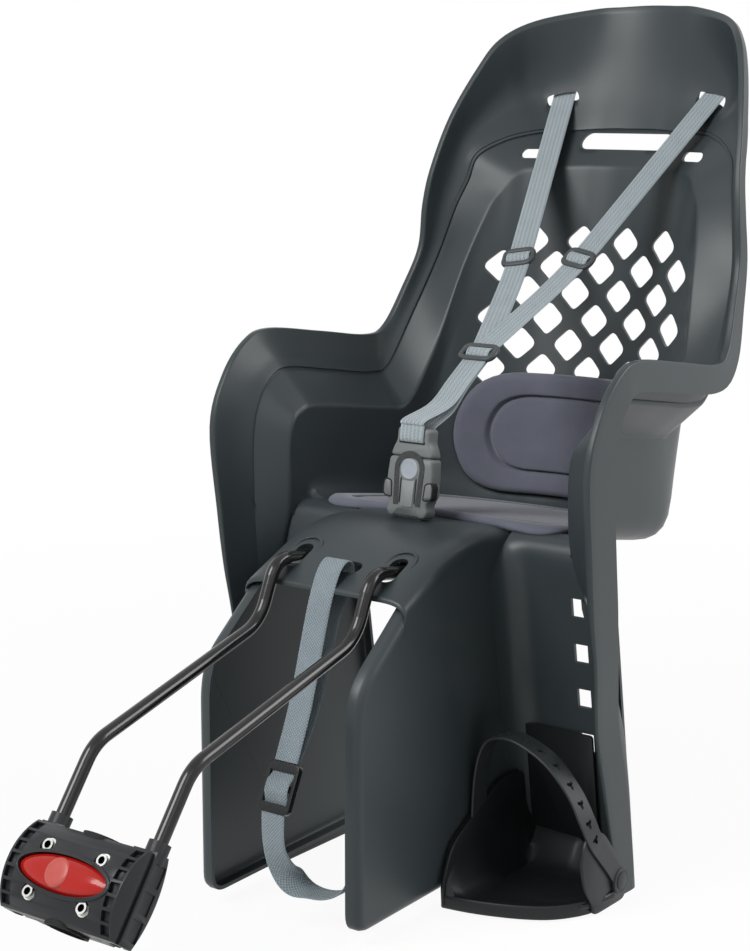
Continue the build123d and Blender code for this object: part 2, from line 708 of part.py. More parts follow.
# Buckle on its short strap through the pan
buckle_up = Vector(0, 0.154, 0.988).normalized()
buckle_front = Vector(0, -buckle_up.Z, buckle_up.Y)
buckle_plane = Plane(origin=buckle_foot, x_dir=(1, 0, 0), z_dir=tuple(buckle_front))
buckle_section = Plane(origin=buckle_foot, x_dir=(1, 0, 0), z_dir=tuple(buckle_up))
buckle_half = 8.0
buckle_split = 58.0
buckle_top = 85.0
disc_height = 47.0
tab_reach = 26.5
with BuildPart() as buckle_body:
    with BuildSketch(buckle_plane.offset(-buckle_half)):
        with BuildLine():
            Polyline(
                (-20, 3), (20, 3), (23, 9), (20.5, 15), (24, 22), (25, 40), (23.5, buckle_split),
                (-23.5, buckle_split), (-25, 40), (-24, 22), (-20.5, 15), (-23, 9), close=True,
            )
        make_face()
    extrude(amount=2 * buckle_half)
    fillet(buckle_body.edges().filter_by(buckle_plane), 2)
    with BuildSketch(buckle_section.offset(32)):
        Rectangle(21.4, 5.2)
    extrude(amount=40, mode=Mode.SUBTRACT)
    with BuildSketch(buckle_plane.offset(2)):
        with Locations((0, disc_height)):
            Circle(9.9)
    extrude(amount=20, mode=Mode.SUBTRACT)
    with BuildSketch(buckle_plane.offset(-5.4)):
        with Locations((-25, 28), (25, 28)):
            Rectangle(19, 15)
    extrude(amount=10.8, mode=Mode.SUBTRACT)
    with BuildSketch(buckle_section):
        Rectangle(27, 3)
    extrude(amount=14, mode=Mode.SUBTRACT)
finish(buckle_body, "buckle_body")

with BuildPart() as buckle_tongue:
    with BuildSketch(buckle_plane.offset(-buckle_half)):
        with BuildLine():
            Polyline(
                (-23, buckle_split + running_gap), (23, buckle_split + running_gap), (21, 66), (17.5, 72),
                (17.5, buckle_top), (-17.5, buckle_top), (-17.5, 72), (-21, 66), close=True,
            )
        make_face()
    extrude(amount=2 * buckle_half)
    fillet(buckle_tongue.edges().filter_by(buckle_plane), 2)
    with BuildSketch(buckle_section.offset(35)):
        Rectangle(20, 4)
    extrude(amount=buckle_split + 2 - 35)
    with BuildSketch(lower_section.offset(-lower_length - 0.5)):
        Rectangle(strap_width + 1, lower_thickness + 1)
    extrude(amount=40, mode=Mode.SUBTRACT)
finish(buckle_tongue, "buckle_tongue")

with BuildPart() as buckle_button:
    with BuildSketch(buckle_plane.offset(4.6)):
        with Locations((0, disc_height)):
            Circle(9.5)
    extrude(amount=4.6)
    fillet(buckle_button.faces().sort_by(Axis.Y)[0].edges(), 1)
finish(buckle_button, "buckle_button")

for side, name in ((1, "right"), (-1, "left")):
    with BuildPart() as buckle_tab:
        with BuildSketch(buckle_plane.offset(-5)):
            with Locations((side * (tab_reach - 4), 28)):
                Rectangle(8, 14)
        extrude(amount=10)
        fillet(buckle_tab.faces().sort_by(Axis.X)[-1 if side > 0 else 0].edges(), 1.2)
    finish(buckle_tab, f"buckle_tab_{name}")

with BuildPart() as crotch_strap:
    with BuildSketch(buckle_section.offset(-20)):
        Rectangle(strap_width, 2.4)
    extrude(amount=33)
finish(crotch_strap, "crotch_strap")

with BuildPart() as crotch_anchor:
    with BuildSketch(buckle_section.offset(-20)):
        RectangleRounded(44, 9, 2)
        Rectangle(strap_width + 0.4, 2.8, mode=Mode.SUBTRACT)
    extrude(amount=8)
finish(crotch_anchor, "crotch_anchor")


def route_radii(points):
    """Arc radius at each inner point of a limp route: 0.45 of its shorter run by the half turn's tangent."""
    radii = []
    for before, here, after in zip(points, points[1:], points[2:]):
        first = Vector(*here) - Vector(*before)
        second = Vector(*after) - Vector(*here)
        half_turn = radians(first.get_angle(second)) / 2
        radii.append(0.45 * min(first.length, second.length) / tan(half_turn))
    return radii


# Safety strap: a loop through the apron's slot down to its lock, then the tail to a stud on the right leg
strap_loop = [
    (247.4, 32.4), (258, 52), (271, 80), (285, 112), (301, 146), (317, 170), (327, 184), (327, 195),
    (317, 200), (305, 191), (294, 168), (284, 138), (274, 105), (264, 75), (254, 53), (245.2, 34),
]
loop_points = [(0, y, z) for y, z in strap_loop]
loop_radii = route_radii(loop_points)
safety_width = 25.0
with BuildPart() as safety_strap:
    with BuildLine() as loop_line:
        FilletPolyline(*loop_points, radius=loop_radii)
    with BuildSketch(Plane(origin=loop_points[0], x_dir=(1, 0, 0), z_dir=tuple(loop_line.wire() % 0))):
        Rectangle(safety_width, strap_thickness)
    sweep(path=loop_line.wire())
finish(safety_strap, "safety_strap")

lock_size = (34.0, 44.0)
lock_window = (26.0, 11.0)
lock_at = Vector(0, 236.6, 13)
lock_up = Vector(0, 0.44, 0.898)
lock_plane = Plane(origin=tuple(lock_at), x_dir=(1, 0, 0), z_dir=(0, -lock_up.Z, lock_up.Y))
with BuildPart() as ladder_lock:
    with BuildSketch(lock_plane.offset(-3)):
        RectangleRounded(*lock_size, 5)
        with Locations((0, 8.5), (0, -8.5)):
            Rectangle(*lock_window, mode=Mode.SUBTRACT)
    extrude(amount=6)
finish(ladder_lock, "ladder_lock")

tail_sections = [
    ((0, 226.8, -6.9), (1, 0, 0), (0, -0.44, -0.898)),
    ((0, 225, -28), (1, 0, 0), (0, 0.15, -1)),
    ((1, 231, -51), (0.94, 0.34, 0), (0.05, 0.35, -0.9)),
    ((6, 241, -69), (0.6, 0.8, 0), (0.4, 0.4, -0.8)),
    ((18, 250, -80), (0.25, 0.97, 0), (0.85, 0.3, -0.4)),
    ((36, 253, -82), (0, 1, 0), (1, 0, 0.1)),
    ((55, 252, -75), (0, 1, 0), (0.85, 0, 0.5)),
    ((69, 250, -63), (0, 1, 0), (0.55, 0, 0.85)),
    ((76, 249, -47), (0, 1, 0), (0, 0, 1)),
]
with BuildPart() as safety_strap_tail:
    for centre, width, forward in tail_sections:
        with BuildSketch(Plane(origin=centre, x_dir=width, z_dir=forward)):
            Rectangle(safety_width, strap_thickness)
    loft(ruled=True)
finish(safety_strap_tail, "safety_strap_tail")

with BuildPart() as strap_stud:
    with BuildSketch(Plane.YZ.offset(panel_outer - wall)):
        with Locations((249, -41)):
            RectangleRounded(27, 12, 3)
    extrude(amount=-10)
    with BuildSketch(Plane.YZ.offset(panel_outer - wall - 10)):
        with Locations((245, -41)):
            Circle(5)
    extrude(amount=-3)
finish(strap_stud, "strap_stud")

# Foot rests with their straps, right and left
foot_floor = -112.0
foot_wall = 3.5
cup_inner = 91.5
cup_outer = 208.5
rest_back = 1.0
front_edge = [(cup_inner, 348), (135, 358), (180, 378), (204, 418)]
hole_count = 7
band_route = [
    (96.25, -62), (96.25, 18), (112, 42), (141, 39), (171, 24), (196, -2), (209.75, -26), (209.75, -45),
]
band_front = 395.0
band_width = 17.0
band_thickness = 2.5
pin_at = (456.0, -91.0)
peg_at = (428.0, -53.0)


def rest_back_y(height):
    """Rear face of the foot rest's back plate at a height."""
    return leg_wall_y(height) - rest_back


for side, name in ((1, "right"), (-1, "left")):
    with BuildPart() as foot_rest:
        with BuildSketch(Plane.XY.offset(foot_floor)) as floor_plan:
            with BuildLine():
                outer_edge = [(side * x, y) for x, y in front_edge]
                FilletPolyline(*outer_edge, (side * cup_outer, 440), radius=[60, 60, 40])
                Polyline(
                    (side * cup_outer, 440), (side * 198, 440), (side * 198, 498), (side * cup_inner, 498),
                    (side * cup_inner, 348),
                )
            make_face()
        extrude(amount=foot_wall)
        extrude(floor_plan.sketch, amount=14)
        with BuildSketch(Plane.XY.offset(foot_floor + foot_wall)):
            with BuildLine():
                inner_edge = [(side * (x - 2), y + foot_wall) for x, y in front_edge]
                FilletPolyline(*inner_edge, (side * (cup_outer - 4), 446), radius=[58, 58, 38])
                Polyline(
                    (side * (cup_outer - 4), 446), (side * 204, 520), (side * 60, 520),
                    (side * (front_edge[0][0] - 2), 348 + foot_wall),
                )
            make_face()
        extrude(amount=20, mode=Mode.SUBTRACT)
        with BuildSketch(Plane.YZ.offset(side * cup_inner)):
            with BuildLine():
                Polyline(
                    (348, foot_floor), (346, -88), (361, -55), (423, -23), (446, -15),
                    (rest_back_y(-15), -15), (498, foot_floor), close=True,
                )
            make_face()
        extrude(amount=side * foot_wall)
        with BuildSketch(Plane.YZ.offset(side * cup_outer)):
            with BuildLine():
                Polyline(
                    (416, foot_floor), (417, -103), (399, -81), (392, -52), (400, -34), (432, -34),
                    (470, -80), (472, foot_floor), close=True,
                )
            make_face()
        extrude(amount=-side * foot_wall)
        with BuildSketch(Plane.YZ.offset(side * cup_inner)):
            with BuildLine():
                Polyline(
                    (498, foot_floor), (rest_back_y(32), 32), (rest_back_y(32) - foot_wall, 32),
                    (498 - foot_wall, foot_floor), close=True,
                )
            make_face()
        extrude(amount=side * (169 - cup_inner))
        with BuildSketch(Plane.YZ.offset(side * cup_outer)):
            with Locations(peg_at):
                Circle(4)
        extrude(amount=side * 5)
        with BuildSketch(Plane.YZ.offset(side * (cup_outer - foot_wall))):
            with Locations(pin_at):
                Circle(4.7)
        extrude(amount=side * 2 * foot_wall, mode=Mode.SUBTRACT)
    finish(foot_rest, f"foot_rest_{name}")

    arch_route = [(side * x, z) for x, z in band_route]
    with BuildPart() as foot_strap:
        with BuildSketch(Plane.XZ.offset(-band_front)):
            with BuildLine() as arch_line:
                FilletPolyline(*arch_route, radius=[14, 14, 40, 50, 50, 16])
            trace(line_width=band_thickness)
        extrude(amount=-band_width)
        with BuildSketch(Plane.YZ.offset(side * cup_outer)):
            with BuildLine():
                Polyline(
                    (395, -20), (412, -20), (436, -47), (448, -69), (464, -80), (446, -103), (431, -74),
                    (408, -42), close=True,
                )
            make_face()
            with Locations(pin_at):
                Circle(14)
        extrude(amount=side * band_thickness)
        with BuildSketch(Plane.YZ.offset(side * (cup_outer - 1))):
            with Locations(peg_at):
                Circle(4.3)
            with Locations(pin_at):
                Circle(4.7)
        extrude(amount=side * 6, mode=Mode.SUBTRACT)
        for hole in range(hole_count):
            share = 0.42 + 0.065 * hole
            spot = arch_line.wire() @ share
            heading = arch_line.wire() % share
            hole_at = (spot.X, band_front + band_width / 2, spot.Y)
            hole_out = (-heading.Y, 0, heading.X)
            with BuildSketch(Plane(origin=hole_at, x_dir=(heading.X, 0, heading.Y), z_dir=hole_out)):
                Circle(1.6)
                with PolarLocations(2.4, 3):
                    Circle(2.2)
            extrude(amount=6, both=True, mode=Mode.SUBTRACT)
    finish(foot_strap, f"foot_strap_{name}")

    with BuildPart() as foot_strap_pin:
        with BuildSketch(Plane.YZ.offset(side * (cup_outer - foot_wall))):
            with Locations(pin_at):
                Circle(4.4)
        extrude(amount=side * (foot_wall + band_thickness))
        with BuildSketch(Plane.YZ.offset(side * (cup_outer + band_thickness))):
            with Locations(pin_at):
                Circle(8)
        extrude(amount=side * 2)
    finish(foot_strap_pin, f"foot_strap_pin_{name}")
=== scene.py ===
"""Looks of a child bike seat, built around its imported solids."""

import logging
from dataclasses import dataclass, field
from enum import Enum
from math import cos, radians, sin
from typing import Sequence

import bmesh
import bpy
import numpy as np
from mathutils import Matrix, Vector


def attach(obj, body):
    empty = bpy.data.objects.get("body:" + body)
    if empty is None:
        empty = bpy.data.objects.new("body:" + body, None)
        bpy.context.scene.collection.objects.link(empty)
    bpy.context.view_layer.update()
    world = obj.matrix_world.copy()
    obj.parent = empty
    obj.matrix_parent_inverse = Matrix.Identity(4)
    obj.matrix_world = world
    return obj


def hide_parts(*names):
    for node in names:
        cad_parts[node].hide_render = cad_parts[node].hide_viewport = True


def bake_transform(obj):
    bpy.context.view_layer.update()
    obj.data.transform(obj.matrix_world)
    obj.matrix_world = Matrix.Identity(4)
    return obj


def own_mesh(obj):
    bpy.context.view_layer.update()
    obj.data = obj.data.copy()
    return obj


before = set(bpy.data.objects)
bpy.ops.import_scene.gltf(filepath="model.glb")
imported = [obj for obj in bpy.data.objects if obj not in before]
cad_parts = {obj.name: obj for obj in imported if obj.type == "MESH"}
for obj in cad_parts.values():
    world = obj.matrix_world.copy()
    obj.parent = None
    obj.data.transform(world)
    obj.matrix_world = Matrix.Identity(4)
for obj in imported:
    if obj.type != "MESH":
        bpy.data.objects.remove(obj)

log = logging.getLogger("child_bike_seat")
MM = 0.001
Socket = bpy.types.NodeSocket


class Weave(Enum):
    """How a strap is woven."""

    PLAIN = "plain"
    HERRINGBONE = "herringbone"


class Value:
    """A number socket whose arithmetic adds Math nodes to its tree."""

    def __init__(self, tree: bpy.types.NodeTree, socket: Socket) -> None:
        """Wrap a socket of a tree."""
        self.tree = tree
        self.socket = socket

    def _math(self, operation: str, *others: "Value | float", swap: bool = False) -> "Value":
        """Add one Math node.

        Args:
            operation: Blender's name of the operation.
            others: the further operands.
            swap: whether the first operand comes second.

        Returns:
            The node's result.
        """
        node = self.tree.nodes.new("ShaderNodeMath")
        node.operation = operation
        operands = [self, *others]
        if swap:
            operands.reverse()
        for entry, operand in zip(node.inputs, operands):
            if isinstance(operand, Value):
                self.tree.links.new(operand.socket, entry)
            else:
                entry.default_value = operand
        return Value(self.tree, node.outputs[0])

    def __add__(self, other: "Value | float") -> "Value":
        """Sum."""
        return self._math("ADD", other)

    __radd__ = __add__

    def __sub__(self, other: "Value | float") -> "Value":
        """Difference."""
        return self._math("SUBTRACT", other)

    def __rsub__(self, other: float) -> "Value":
        """Difference from a number."""
        return self._math("SUBTRACT", other, swap=True)

    def __mul__(self, other: "Value | float") -> "Value":
        """Product."""
        return self._math("MULTIPLY", other)

    __rmul__ = __mul__

    def __abs__(self) -> "Value":
        """Size without sign."""
        return self._math("ABSOLUTE")

    def sine(self) -> "Value":
        """Sine of an angle in radians."""
        return self._math("SINE")

    def fraction(self) -> "Value":
        """Part after the decimal point."""
        return self._math("FRACT")

    def lowest(self, other: "Value | float") -> "Value":
        """The smaller of two values."""
        return self._math("MINIMUM", other)

    def above(self, edge: float) -> "Value":
        """One where the value is over an edge, else nought."""
        return self._math("GREATER_THAN", edge)


class Paint:
    """One material under construction."""

    def __init__(self, name: str) -> None:
        """Start a material with a Principled shader."""
        self.material = bpy.data.materials.new(name)
        self.material.use_nodes = True
        self.tree = self.material.node_tree
        self.shader = self.tree.nodes["Principled BSDF"]

    def node(self, kind: str, settings: dict | None = None, inputs: dict | None = None) -> bpy.types.Node:
        """Add a node of any kind.

        Args:
            kind: the node's type without its ShaderNode prefix.
            settings: attributes that are set first.
            inputs: socket names with their values or links.

        Returns:
            The new node.
        """
        node = self.tree.nodes.new("ShaderNode" + kind)
        for key, setting in (settings or {}).items():
            setattr(node, key, setting)
        for key, given in (inputs or {}).items():
            self.join(given, node.inputs[key])
        return node

    def join(self, given: object, entry: Socket) -> None:
        """Link a value or set a constant on a socket."""
        if isinstance(given, Value):
            self.tree.links.new(given.socket, entry)
        elif isinstance(given, bpy.types.NodeSocket):
            self.tree.links.new(given, entry)
        else:
            entry.default_value = given

    def noise(self, scale: float, detail: float = 2.0) -> Value:
        """Noise from nought to one in the piece's own space."""
        place = self.node("TexCoord").outputs["Object"]
        node = self.node("TexNoise", inputs={"Vector": place, "Scale": scale, "Detail": detail})
        return Value(self.tree, node.outputs[0])

    def place(self) -> tuple[Value, Value, Value]:
        """The three coordinates of the piece's own space in metres."""
        spot = self.node("TexCoord").outputs["Object"]
        split = self.node("SeparateXYZ", inputs={"Vector": spot})
        return tuple(Value(self.tree, out) for out in split.outputs)

    def cloth_place(self) -> tuple[Value, Value]:
        """Place across and along a strap in metres, from its UV map."""
        spot = self.node("UVMap", {"uv_map": "weave"}).outputs["UV"]
        split = self.node("SeparateXYZ", inputs={"Vector": spot})
        return Value(self.tree, split.outputs[0]), Value(self.tree, split.outputs[1])

    def blend(self, factor: Value, low: Sequence[float], high: Sequence[float]) -> Socket:
        """Colour between two colours."""
        node = self.node("Mix", {"data_type": "RGBA"}, {"Factor": factor})
        node.inputs[6].default_value = (*low, 1.0)
        node.inputs[7].default_value = (*high, 1.0)
        return node.outputs[2]

    def bump(self, height: Value, strength: float, distance: float) -> None:
        """Feed a height into the shader's normal."""
        node = self.node("Bump", inputs={"Height": height, "Strength": strength, "Distance": distance})
        self.join(node.outputs["Normal"], self.shader.inputs["Normal"])

    def set(self, **inputs: object) -> None:
        """Set or link sockets of the shader, with spaces written as underscores."""
        for key, given in inputs.items():
            self.join(given, self.shader.inputs[key.replace("_", " ")])


def lifted(colour: Sequence[float], share: float) -> tuple[float, ...]:
    """A colour made lighter or darker by a share."""
    return tuple(channel * (1 + share) for channel in colour)


@dataclass(frozen=True)
class MouldedPlastic:
    """Satin plastic with a fine eroded grain."""

    name: str
    colour: tuple[float, float, float]
    roughness: float = 0.45
    grain: float = 900.0
    depth: float = 0.00006
    variation: float = 0.08
    shine: float = 0.3

    def material(self) -> bpy.types.Material:
        """Build the material: slow tone changes, fine grain in bump and roughness.

        Returns:
            The material.
        """
        paint = Paint(self.name)
        slow = paint.noise(9.0, 3.0)
        fine = paint.noise(self.grain, 2.0)
        tone = slow * 0.7 + fine * 0.3
        dark, light = (lifted(self.colour, share) for share in (-self.variation, self.variation))
        paint.set(Base_Color=paint.blend(tone, dark, light))
        paint.set(Roughness=slow * 0.08 + fine * 0.06 + (self.roughness - 0.07))
        paint.bump(fine, 0.35, self.depth)
        paint.shader.inputs["Specular IOR Level"].default_value = self.shine
        return paint.material


@dataclass(frozen=True)
class GlossCoat:
    """Lacquered or polished surface with a clear coat."""

    name: str
    colour: tuple[float, float, float]
    roughness: float = 0.22
    coat: float = 0.6
    metallic: float = 0.0

    def material(self) -> bpy.types.Material:
        """Build the material: faint orange peel under a clear coat.

        Returns:
            The material.
        """
        paint = Paint(self.name)
        peel = paint.noise(260.0, 1.0)
        paint.set(Base_Color=paint.blend(peel, lifted(self.colour, -0.05), lifted(self.colour, 0.05)))
        paint.set(Roughness=peel * 0.06 + self.roughness, Metallic=self.metallic, Coat_Weight=self.coat)
        paint.shader.inputs["Coat Roughness"].default_value = 0.08
        paint.shader.inputs["Specular IOR Level"].default_value = 0.25
        return paint.material


@dataclass(frozen=True)
class PlatedSteel:
    """Zinc plated steel with a brushed tone."""

    name: str
    colour: tuple[float, float, float] = (0.66, 0.66, 0.64)

    def material(self) -> bpy.types.Material:
        """Build the material: metal with a fine uneven roughness."""
        paint = Paint(self.name)
        grain = paint.noise(1200.0, 2.0)
        paint.set(Base_Color=paint.blend(grain, lifted(self.colour, -0.1), self.colour))
        paint.set(Metallic=1.0, Roughness=grain * 0.16 + 0.2)
        return paint.material


@dataclass(frozen=True)
class SocketShadeSteel:
    """Plated bolt heads in two rows of two, with painted shade: their hexagon sockets coloured dark. Sizes in
    metres.
    """

    name: str
    colour: tuple[float, float, float] = (0.56, 0.56, 0.54)
    # inside: painted shade, the dark colour given to the socket recesses
    inside: tuple[float, float, float] = (0.004, 0.004, 0.004)
    tilt: float = 37.0
    column: float = 0.0285
    row: float = 0.01915
    middle: float = -0.00165
    socket: float = 0.0031

    def material(self) -> bpy.types.Material:
        """Build the material: painted shade, dark where the place lies within a socket's radius of a bolt's
        axis.

        Returns:
            The material.
        """
        paint = Paint(self.name)
        across, back, upward = paint.place()
        rise = back * sin(radians(self.tilt)) + upward * cos(radians(self.tilt))
        aside = abs(across) - self.column
        above = abs(rise - self.middle) - self.row
        head = (aside * aside + above * above).above(self.socket**2)
        # painted shade: the sockets take the dark inside colour in place of the recess's own shade
        paint.set(Base_Color=paint.blend(head, self.inside, self.colour), Metallic=1.0)
        paint.set(Roughness=0.5 - head * 0.2)
        return paint.material


@dataclass(frozen=True)
class Webbing:
    """Woven strap; the pattern follows the strap through its UV map."""

    name: str
    colour: tuple[float, float, float]
    weave: Weave
    pitch: float = 0.0021

    def material(self) -> bpy.types.Material:
        """Build the weave: rows of humps, or two columns of slanting ribs, their height also painted into the
        colour as shade on low threads and highlight on raised ones.

        Returns:
            The material.
        """
        paint = Paint(self.name)
        across, along = paint.cloth_place()
        turn = 2 * np.pi / self.pitch
        if self.weave is Weave.HERRINGBONE:
            column = abs((across * 110.0).fraction() - 0.5) * 0.012
            ribs = ((along + column) * turn).sine() * 0.5 + 0.5
            threads = (across * (turn * 0.66)).sine() * 0.5 + 0.5
            height = ribs * 0.6 + threads * 0.4
            border = abs(across).above(0.0102)
            height = height * (1.0 - border) + (border * 0.35) * (1.0 + threads)
        else:
            rows = (along * turn).sine()
            threads = (across * turn).sine()
            height = rows * threads * 0.5 + 0.5
        dirt = paint.noise(60.0, 3.0)
        # colour: painted shade on low threads and painted highlight on raised ones, with random dirt mixed in
        tone = height * 0.75 + dirt * 0.25
        paint.set(Base_Color=paint.blend(tone, lifted(self.colour, -0.5), lifted(self.colour, 0.34)))
        paint.set(Roughness=tone * -0.15 + 0.86)
        paint.shader.inputs["Sheen Weight"].default_value = 0.25
        paint.bump(height, 0.9, 0.0006)
        return paint.material


@dataclass(frozen=True)
class Velour:
    """Short pile cloth over foam."""

    name: str
    colour: tuple[float, float, float]

    def material(self) -> bpy.types.Material:
        """Build the pile: fine speckle with slow patches where the nap lies another way.

        Returns:
            The material.
        """
        paint = Paint(self.name)
        pile = paint.noise(1500.0, 2.0)
        nap = paint.noise(32.0, 4.0)
        tone = nap * 0.7 + pile * 0.3
        paint.set(Base_Color=paint.blend(tone, lifted(self.colour, -0.3), lifted(self.colour, 0.32)))
        paint.set(Roughness=nap * 0.1 + 0.85)
        paint.shader.inputs["Sheen Weight"].default_value = 0.5
        paint.shader.inputs["Sheen Roughness"].default_value = 0.4
        paint.bump(pile, 0.6, 0.0004)
        return paint.material


@dataclass(frozen=True)
class Knurl:
    """Dark plastic with rows of small raised studs, laid out in the buckle's front plane."""

    name: str
    colour: tuple[float, float, float]
    pitch: float = 0.0024

    def material(self) -> bpy.types.Material:
        """Build the studs: a product of two waves, cut to round tops, with painted highlight on the tops and
        painted shade between them.

        Returns:
            The material.
        """
        paint = Paint(self.name)
        across, _, upward = paint.place()
        turn = 2 * np.pi / self.pitch
        studs = (across * turn).sine() * (upward * turn).sine()
        tops = studs.above(0.15)
        # painted highlight on the stud tops, painted shade between them
        paint.set(Base_Color=paint.blend(tops, lifted(self.colour, -0.7), lifted(self.colour, 0.9)))
        paint.set(Roughness=tops * -0.15 + 0.6)
        paint.bump(studs, 0.8, 0.0008)
        return paint.material


def unit(vectors: np.ndarray) -> np.ndarray:
    """Vectors of length one along the last axis."""
    return vectors / np.maximum(np.linalg.norm(vectors, axis=-1, keepdims=True), 1e-12)


def full_turn(count: int) -> np.ndarray:
    """Even angles of one full turn, without its end."""
    return np.linspace(0, 2 * np.pi, count, endpoint=False)


def smooth_rail(points: np.ndarray, steps: int) -> np.ndarray:
    """Curve through points: each span is the Catmull-Rom cubic of its four nearest points.

    Args:
        points: the points, one row each.
        steps: samples in each span.

    Returns:
        The sampled curve, one row each.
    """
    count = len(points)
    at = np.linspace(0, count - 1, (count - 1) * steps + 1)
    span = np.minimum(at.astype(int), count - 2)
    t = (at - span)[:, None]
    near = [points[np.clip(span + shift, 0, count - 1)] for shift in (-1, 0, 1, 2)]
    a, b, c, d = near
    return 0.5 * (2 * b + (c - a) * t + (2 * a - 5 * b + 4 * c - d) * t**2 + (3 * b - a - 3 * c + d) * t**3)


def rounded_section(
    corners: np.ndarray, radii: Sequence[float], arc: int, flats: Sequence[int]
) -> np.ndarray:
    """Round the corners of many open outlines at once, each corner a quadratic curve between its two sides.

    Args:
        corners: outlines by corner, shape (outlines, corners, 3).
        radii: how far from each inner corner its curve starts.
        arc: points on each curve.
        flats: points added inside each straight side.

    Returns:
        The rounded outlines, shape (outlines, points, 3).
    """
    t = np.linspace(0, 1, arc)[None, :, None]
    stretches = [corners[:, :1]]
    for index, radius in enumerate(radii, start=1):
        here = corners[:, index]
        ends = []
        for other in (corners[:, index - 1], corners[:, index + 1]):
            side = other - here
            length = np.linalg.norm(side, axis=1, keepdims=True)
            ends.append(here + side / np.maximum(length, 1e-9) * np.minimum(radius, 0.47 * length))
        start, stop = ends[0][:, None], ends[1][:, None]
        stretches.append((1 - t) ** 2 * start + 2 * t * (1 - t) * here[:, None] + t**2 * stop)
    stretches.append(corners[:, -1:])
    joined = [stretches[0]]
    for before, after, count in zip(stretches, stretches[1:], flats):
        share = (np.arange(1, count + 1) / (count + 1))[None, :, None]
        joined.append(before[:, -1:] * (1 - share) + after[:, :1] * share)
        joined.append(after)
    return np.concatenate(joined, axis=1)


def grid_faces(rows: int, columns: int, wrap_rows: bool = False, wrap_columns: bool = False) -> np.ndarray:
    """Four-cornered faces of a grid of points.

    Args:
        rows: points down the grid.
        columns: points across the grid.
        wrap_rows: whether the last row joins the first.
        wrap_columns: whether the last column joins the first.

    Returns:
        Point numbers, shape (rows of faces, columns of faces, 4).
    """
    row = np.arange(rows if wrap_rows else rows - 1)[:, None]
    column = np.arange(columns if wrap_columns else columns - 1)[None, :]
    below = (row + 1) % rows
    beside = (column + 1) % columns
    here, under = row * columns, below * columns
    corners = (here + column, here + beside, under + beside, under + column)
    return np.stack(np.broadcast_arrays(*corners), axis=-1)


def new_object(name: str, points: np.ndarray, faces: list, smooth: bool = True) -> bpy.types.Object:
    """Make a mesh object at the origin from points in metres and faces."""
    mesh = bpy.data.meshes.new(name)
    mesh.from_pydata(points.reshape(-1, 3).tolist(), [], faces)
    mesh.update()
    mesh.polygons.foreach_set("use_smooth", np.full(len(mesh.polygons), smooth))
    piece = bpy.data.objects.new(name, mesh)
    bpy.context.scene.collection.objects.link(piece)
    return piece


def settle(piece: bpy.types.Object, merge: float = 0.00002) -> None:
    """Merge doubled points and turn all faces outwards."""
    work = bmesh.new()
    work.from_mesh(piece.data)
    bmesh.ops.remove_doubles(work, verts=work.verts, dist=merge)
    bmesh.ops.recalc_face_normals(work, faces=work.faces)
    work.to_mesh(piece.data)
    work.free()


def apply_modifiers(piece: bpy.types.Object) -> None:
    """Turn a piece's modifiers into its mesh."""
    graph = bpy.context.evaluated_depsgraph_get()
    baked = bpy.data.meshes.new_from_object(piece.evaluated_get(graph))
    piece.modifiers.clear()
    piece.data = baked


def cut_away(piece: bpy.types.Object, cutter: bpy.types.Object) -> None:
    """Take a closed shape out of a piece, after its other modifiers, and remove that shape.

    Args:
        piece: the piece to cut.
        cutter: the closed shape.
    """
    cut = piece.modifiers.new("openings", "BOOLEAN")
    cut.operation = "DIFFERENCE"
    cut.solver = "EXACT"
    cut.object = cutter
    apply_modifiers(piece)
    bpy.data.objects.remove(cutter)


def face_towards(piece: bpy.types.Object, way: Vector) -> None:
    """Turn a sheet's faces so that most of them look one way.

    Args:
        piece: the sheet.
        way: the direction.
    """
    work = bmesh.new()
    work.from_mesh(piece.data)
    if sum(face.normal.dot(way) for face in work.faces) < 0:
        bmesh.ops.reverse_faces(work, faces=work.faces)
    work.to_mesh(piece.data)
    work.free()


def crease_shade(piece: bpy.types.Object, angle: float = 40.0) -> None:
    """Shade smooth, with edges sharper than an angle kept crisp.

    Args:
        piece: the piece.
        angle: largest angle that is shaded smooth, in degrees.
    """
    work = bmesh.new()
    work.from_mesh(piece.data)
    limit = radians(angle)
    for edge in work.edges:
        edge.smooth = not (len(edge.link_faces) == 2 and edge.calc_face_angle(0.0) > limit)
    for face in work.faces:
        face.smooth = True
    work.to_mesh(piece.data)
    work.free()


def thicken(piece: bpy.types.Object, thickness: float) -> None:
    """Give a skin its wall, behind its front.

    Args:
        piece: the skin.
        thickness: the wall in metres.
    """
    wall = piece.modifiers.new("wall", "SOLIDIFY")
    wall.thickness = thickness
    wall.offset = -1.0
    wall.use_even_offset = False


def soften(piece: bpy.types.Object, width: float, segments: int = 2, angle: float = 28.0) -> None:
    """Round a piece's sharp edges."""
    edge = piece.modifiers.new("edge", "BEVEL")
    edge.width = width
    edge.segments = segments
    edge.limit_method = "ANGLE"
    edge.angle_limit = radians(angle)
    edge.harden_normals = False


def solid_copy(node: str, width: float, segments: int = 2) -> bpy.types.Object:
    """Copy of a solid with merged points, flat faces joined and edges rounded.

    Args:
        node: the solid's name.
        width: size of the rounding in metres.
        segments: faces across the rounding.

    Returns:
        The rounded piece, which replaces the solid.
    """
    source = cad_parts[node]
    piece = bpy.data.objects.new(node + "_rounded", source.data.copy())
    bpy.context.scene.collection.objects.link(piece)
    work = bmesh.new()
    work.from_mesh(piece.data)
    bmesh.ops.remove_doubles(work, verts=work.verts, dist=0.00002)
    bmesh.ops.dissolve_limit(
        work, angle_limit=radians(1.5), verts=work.verts, edges=work.edges, use_dissolve_boundaries=False
    )
    work.to_mesh(piece.data)
    work.free()
    soften(piece, width, segments)
    apply_modifiers(piece)
    crease_shade(piece, 35.0)
    return piece


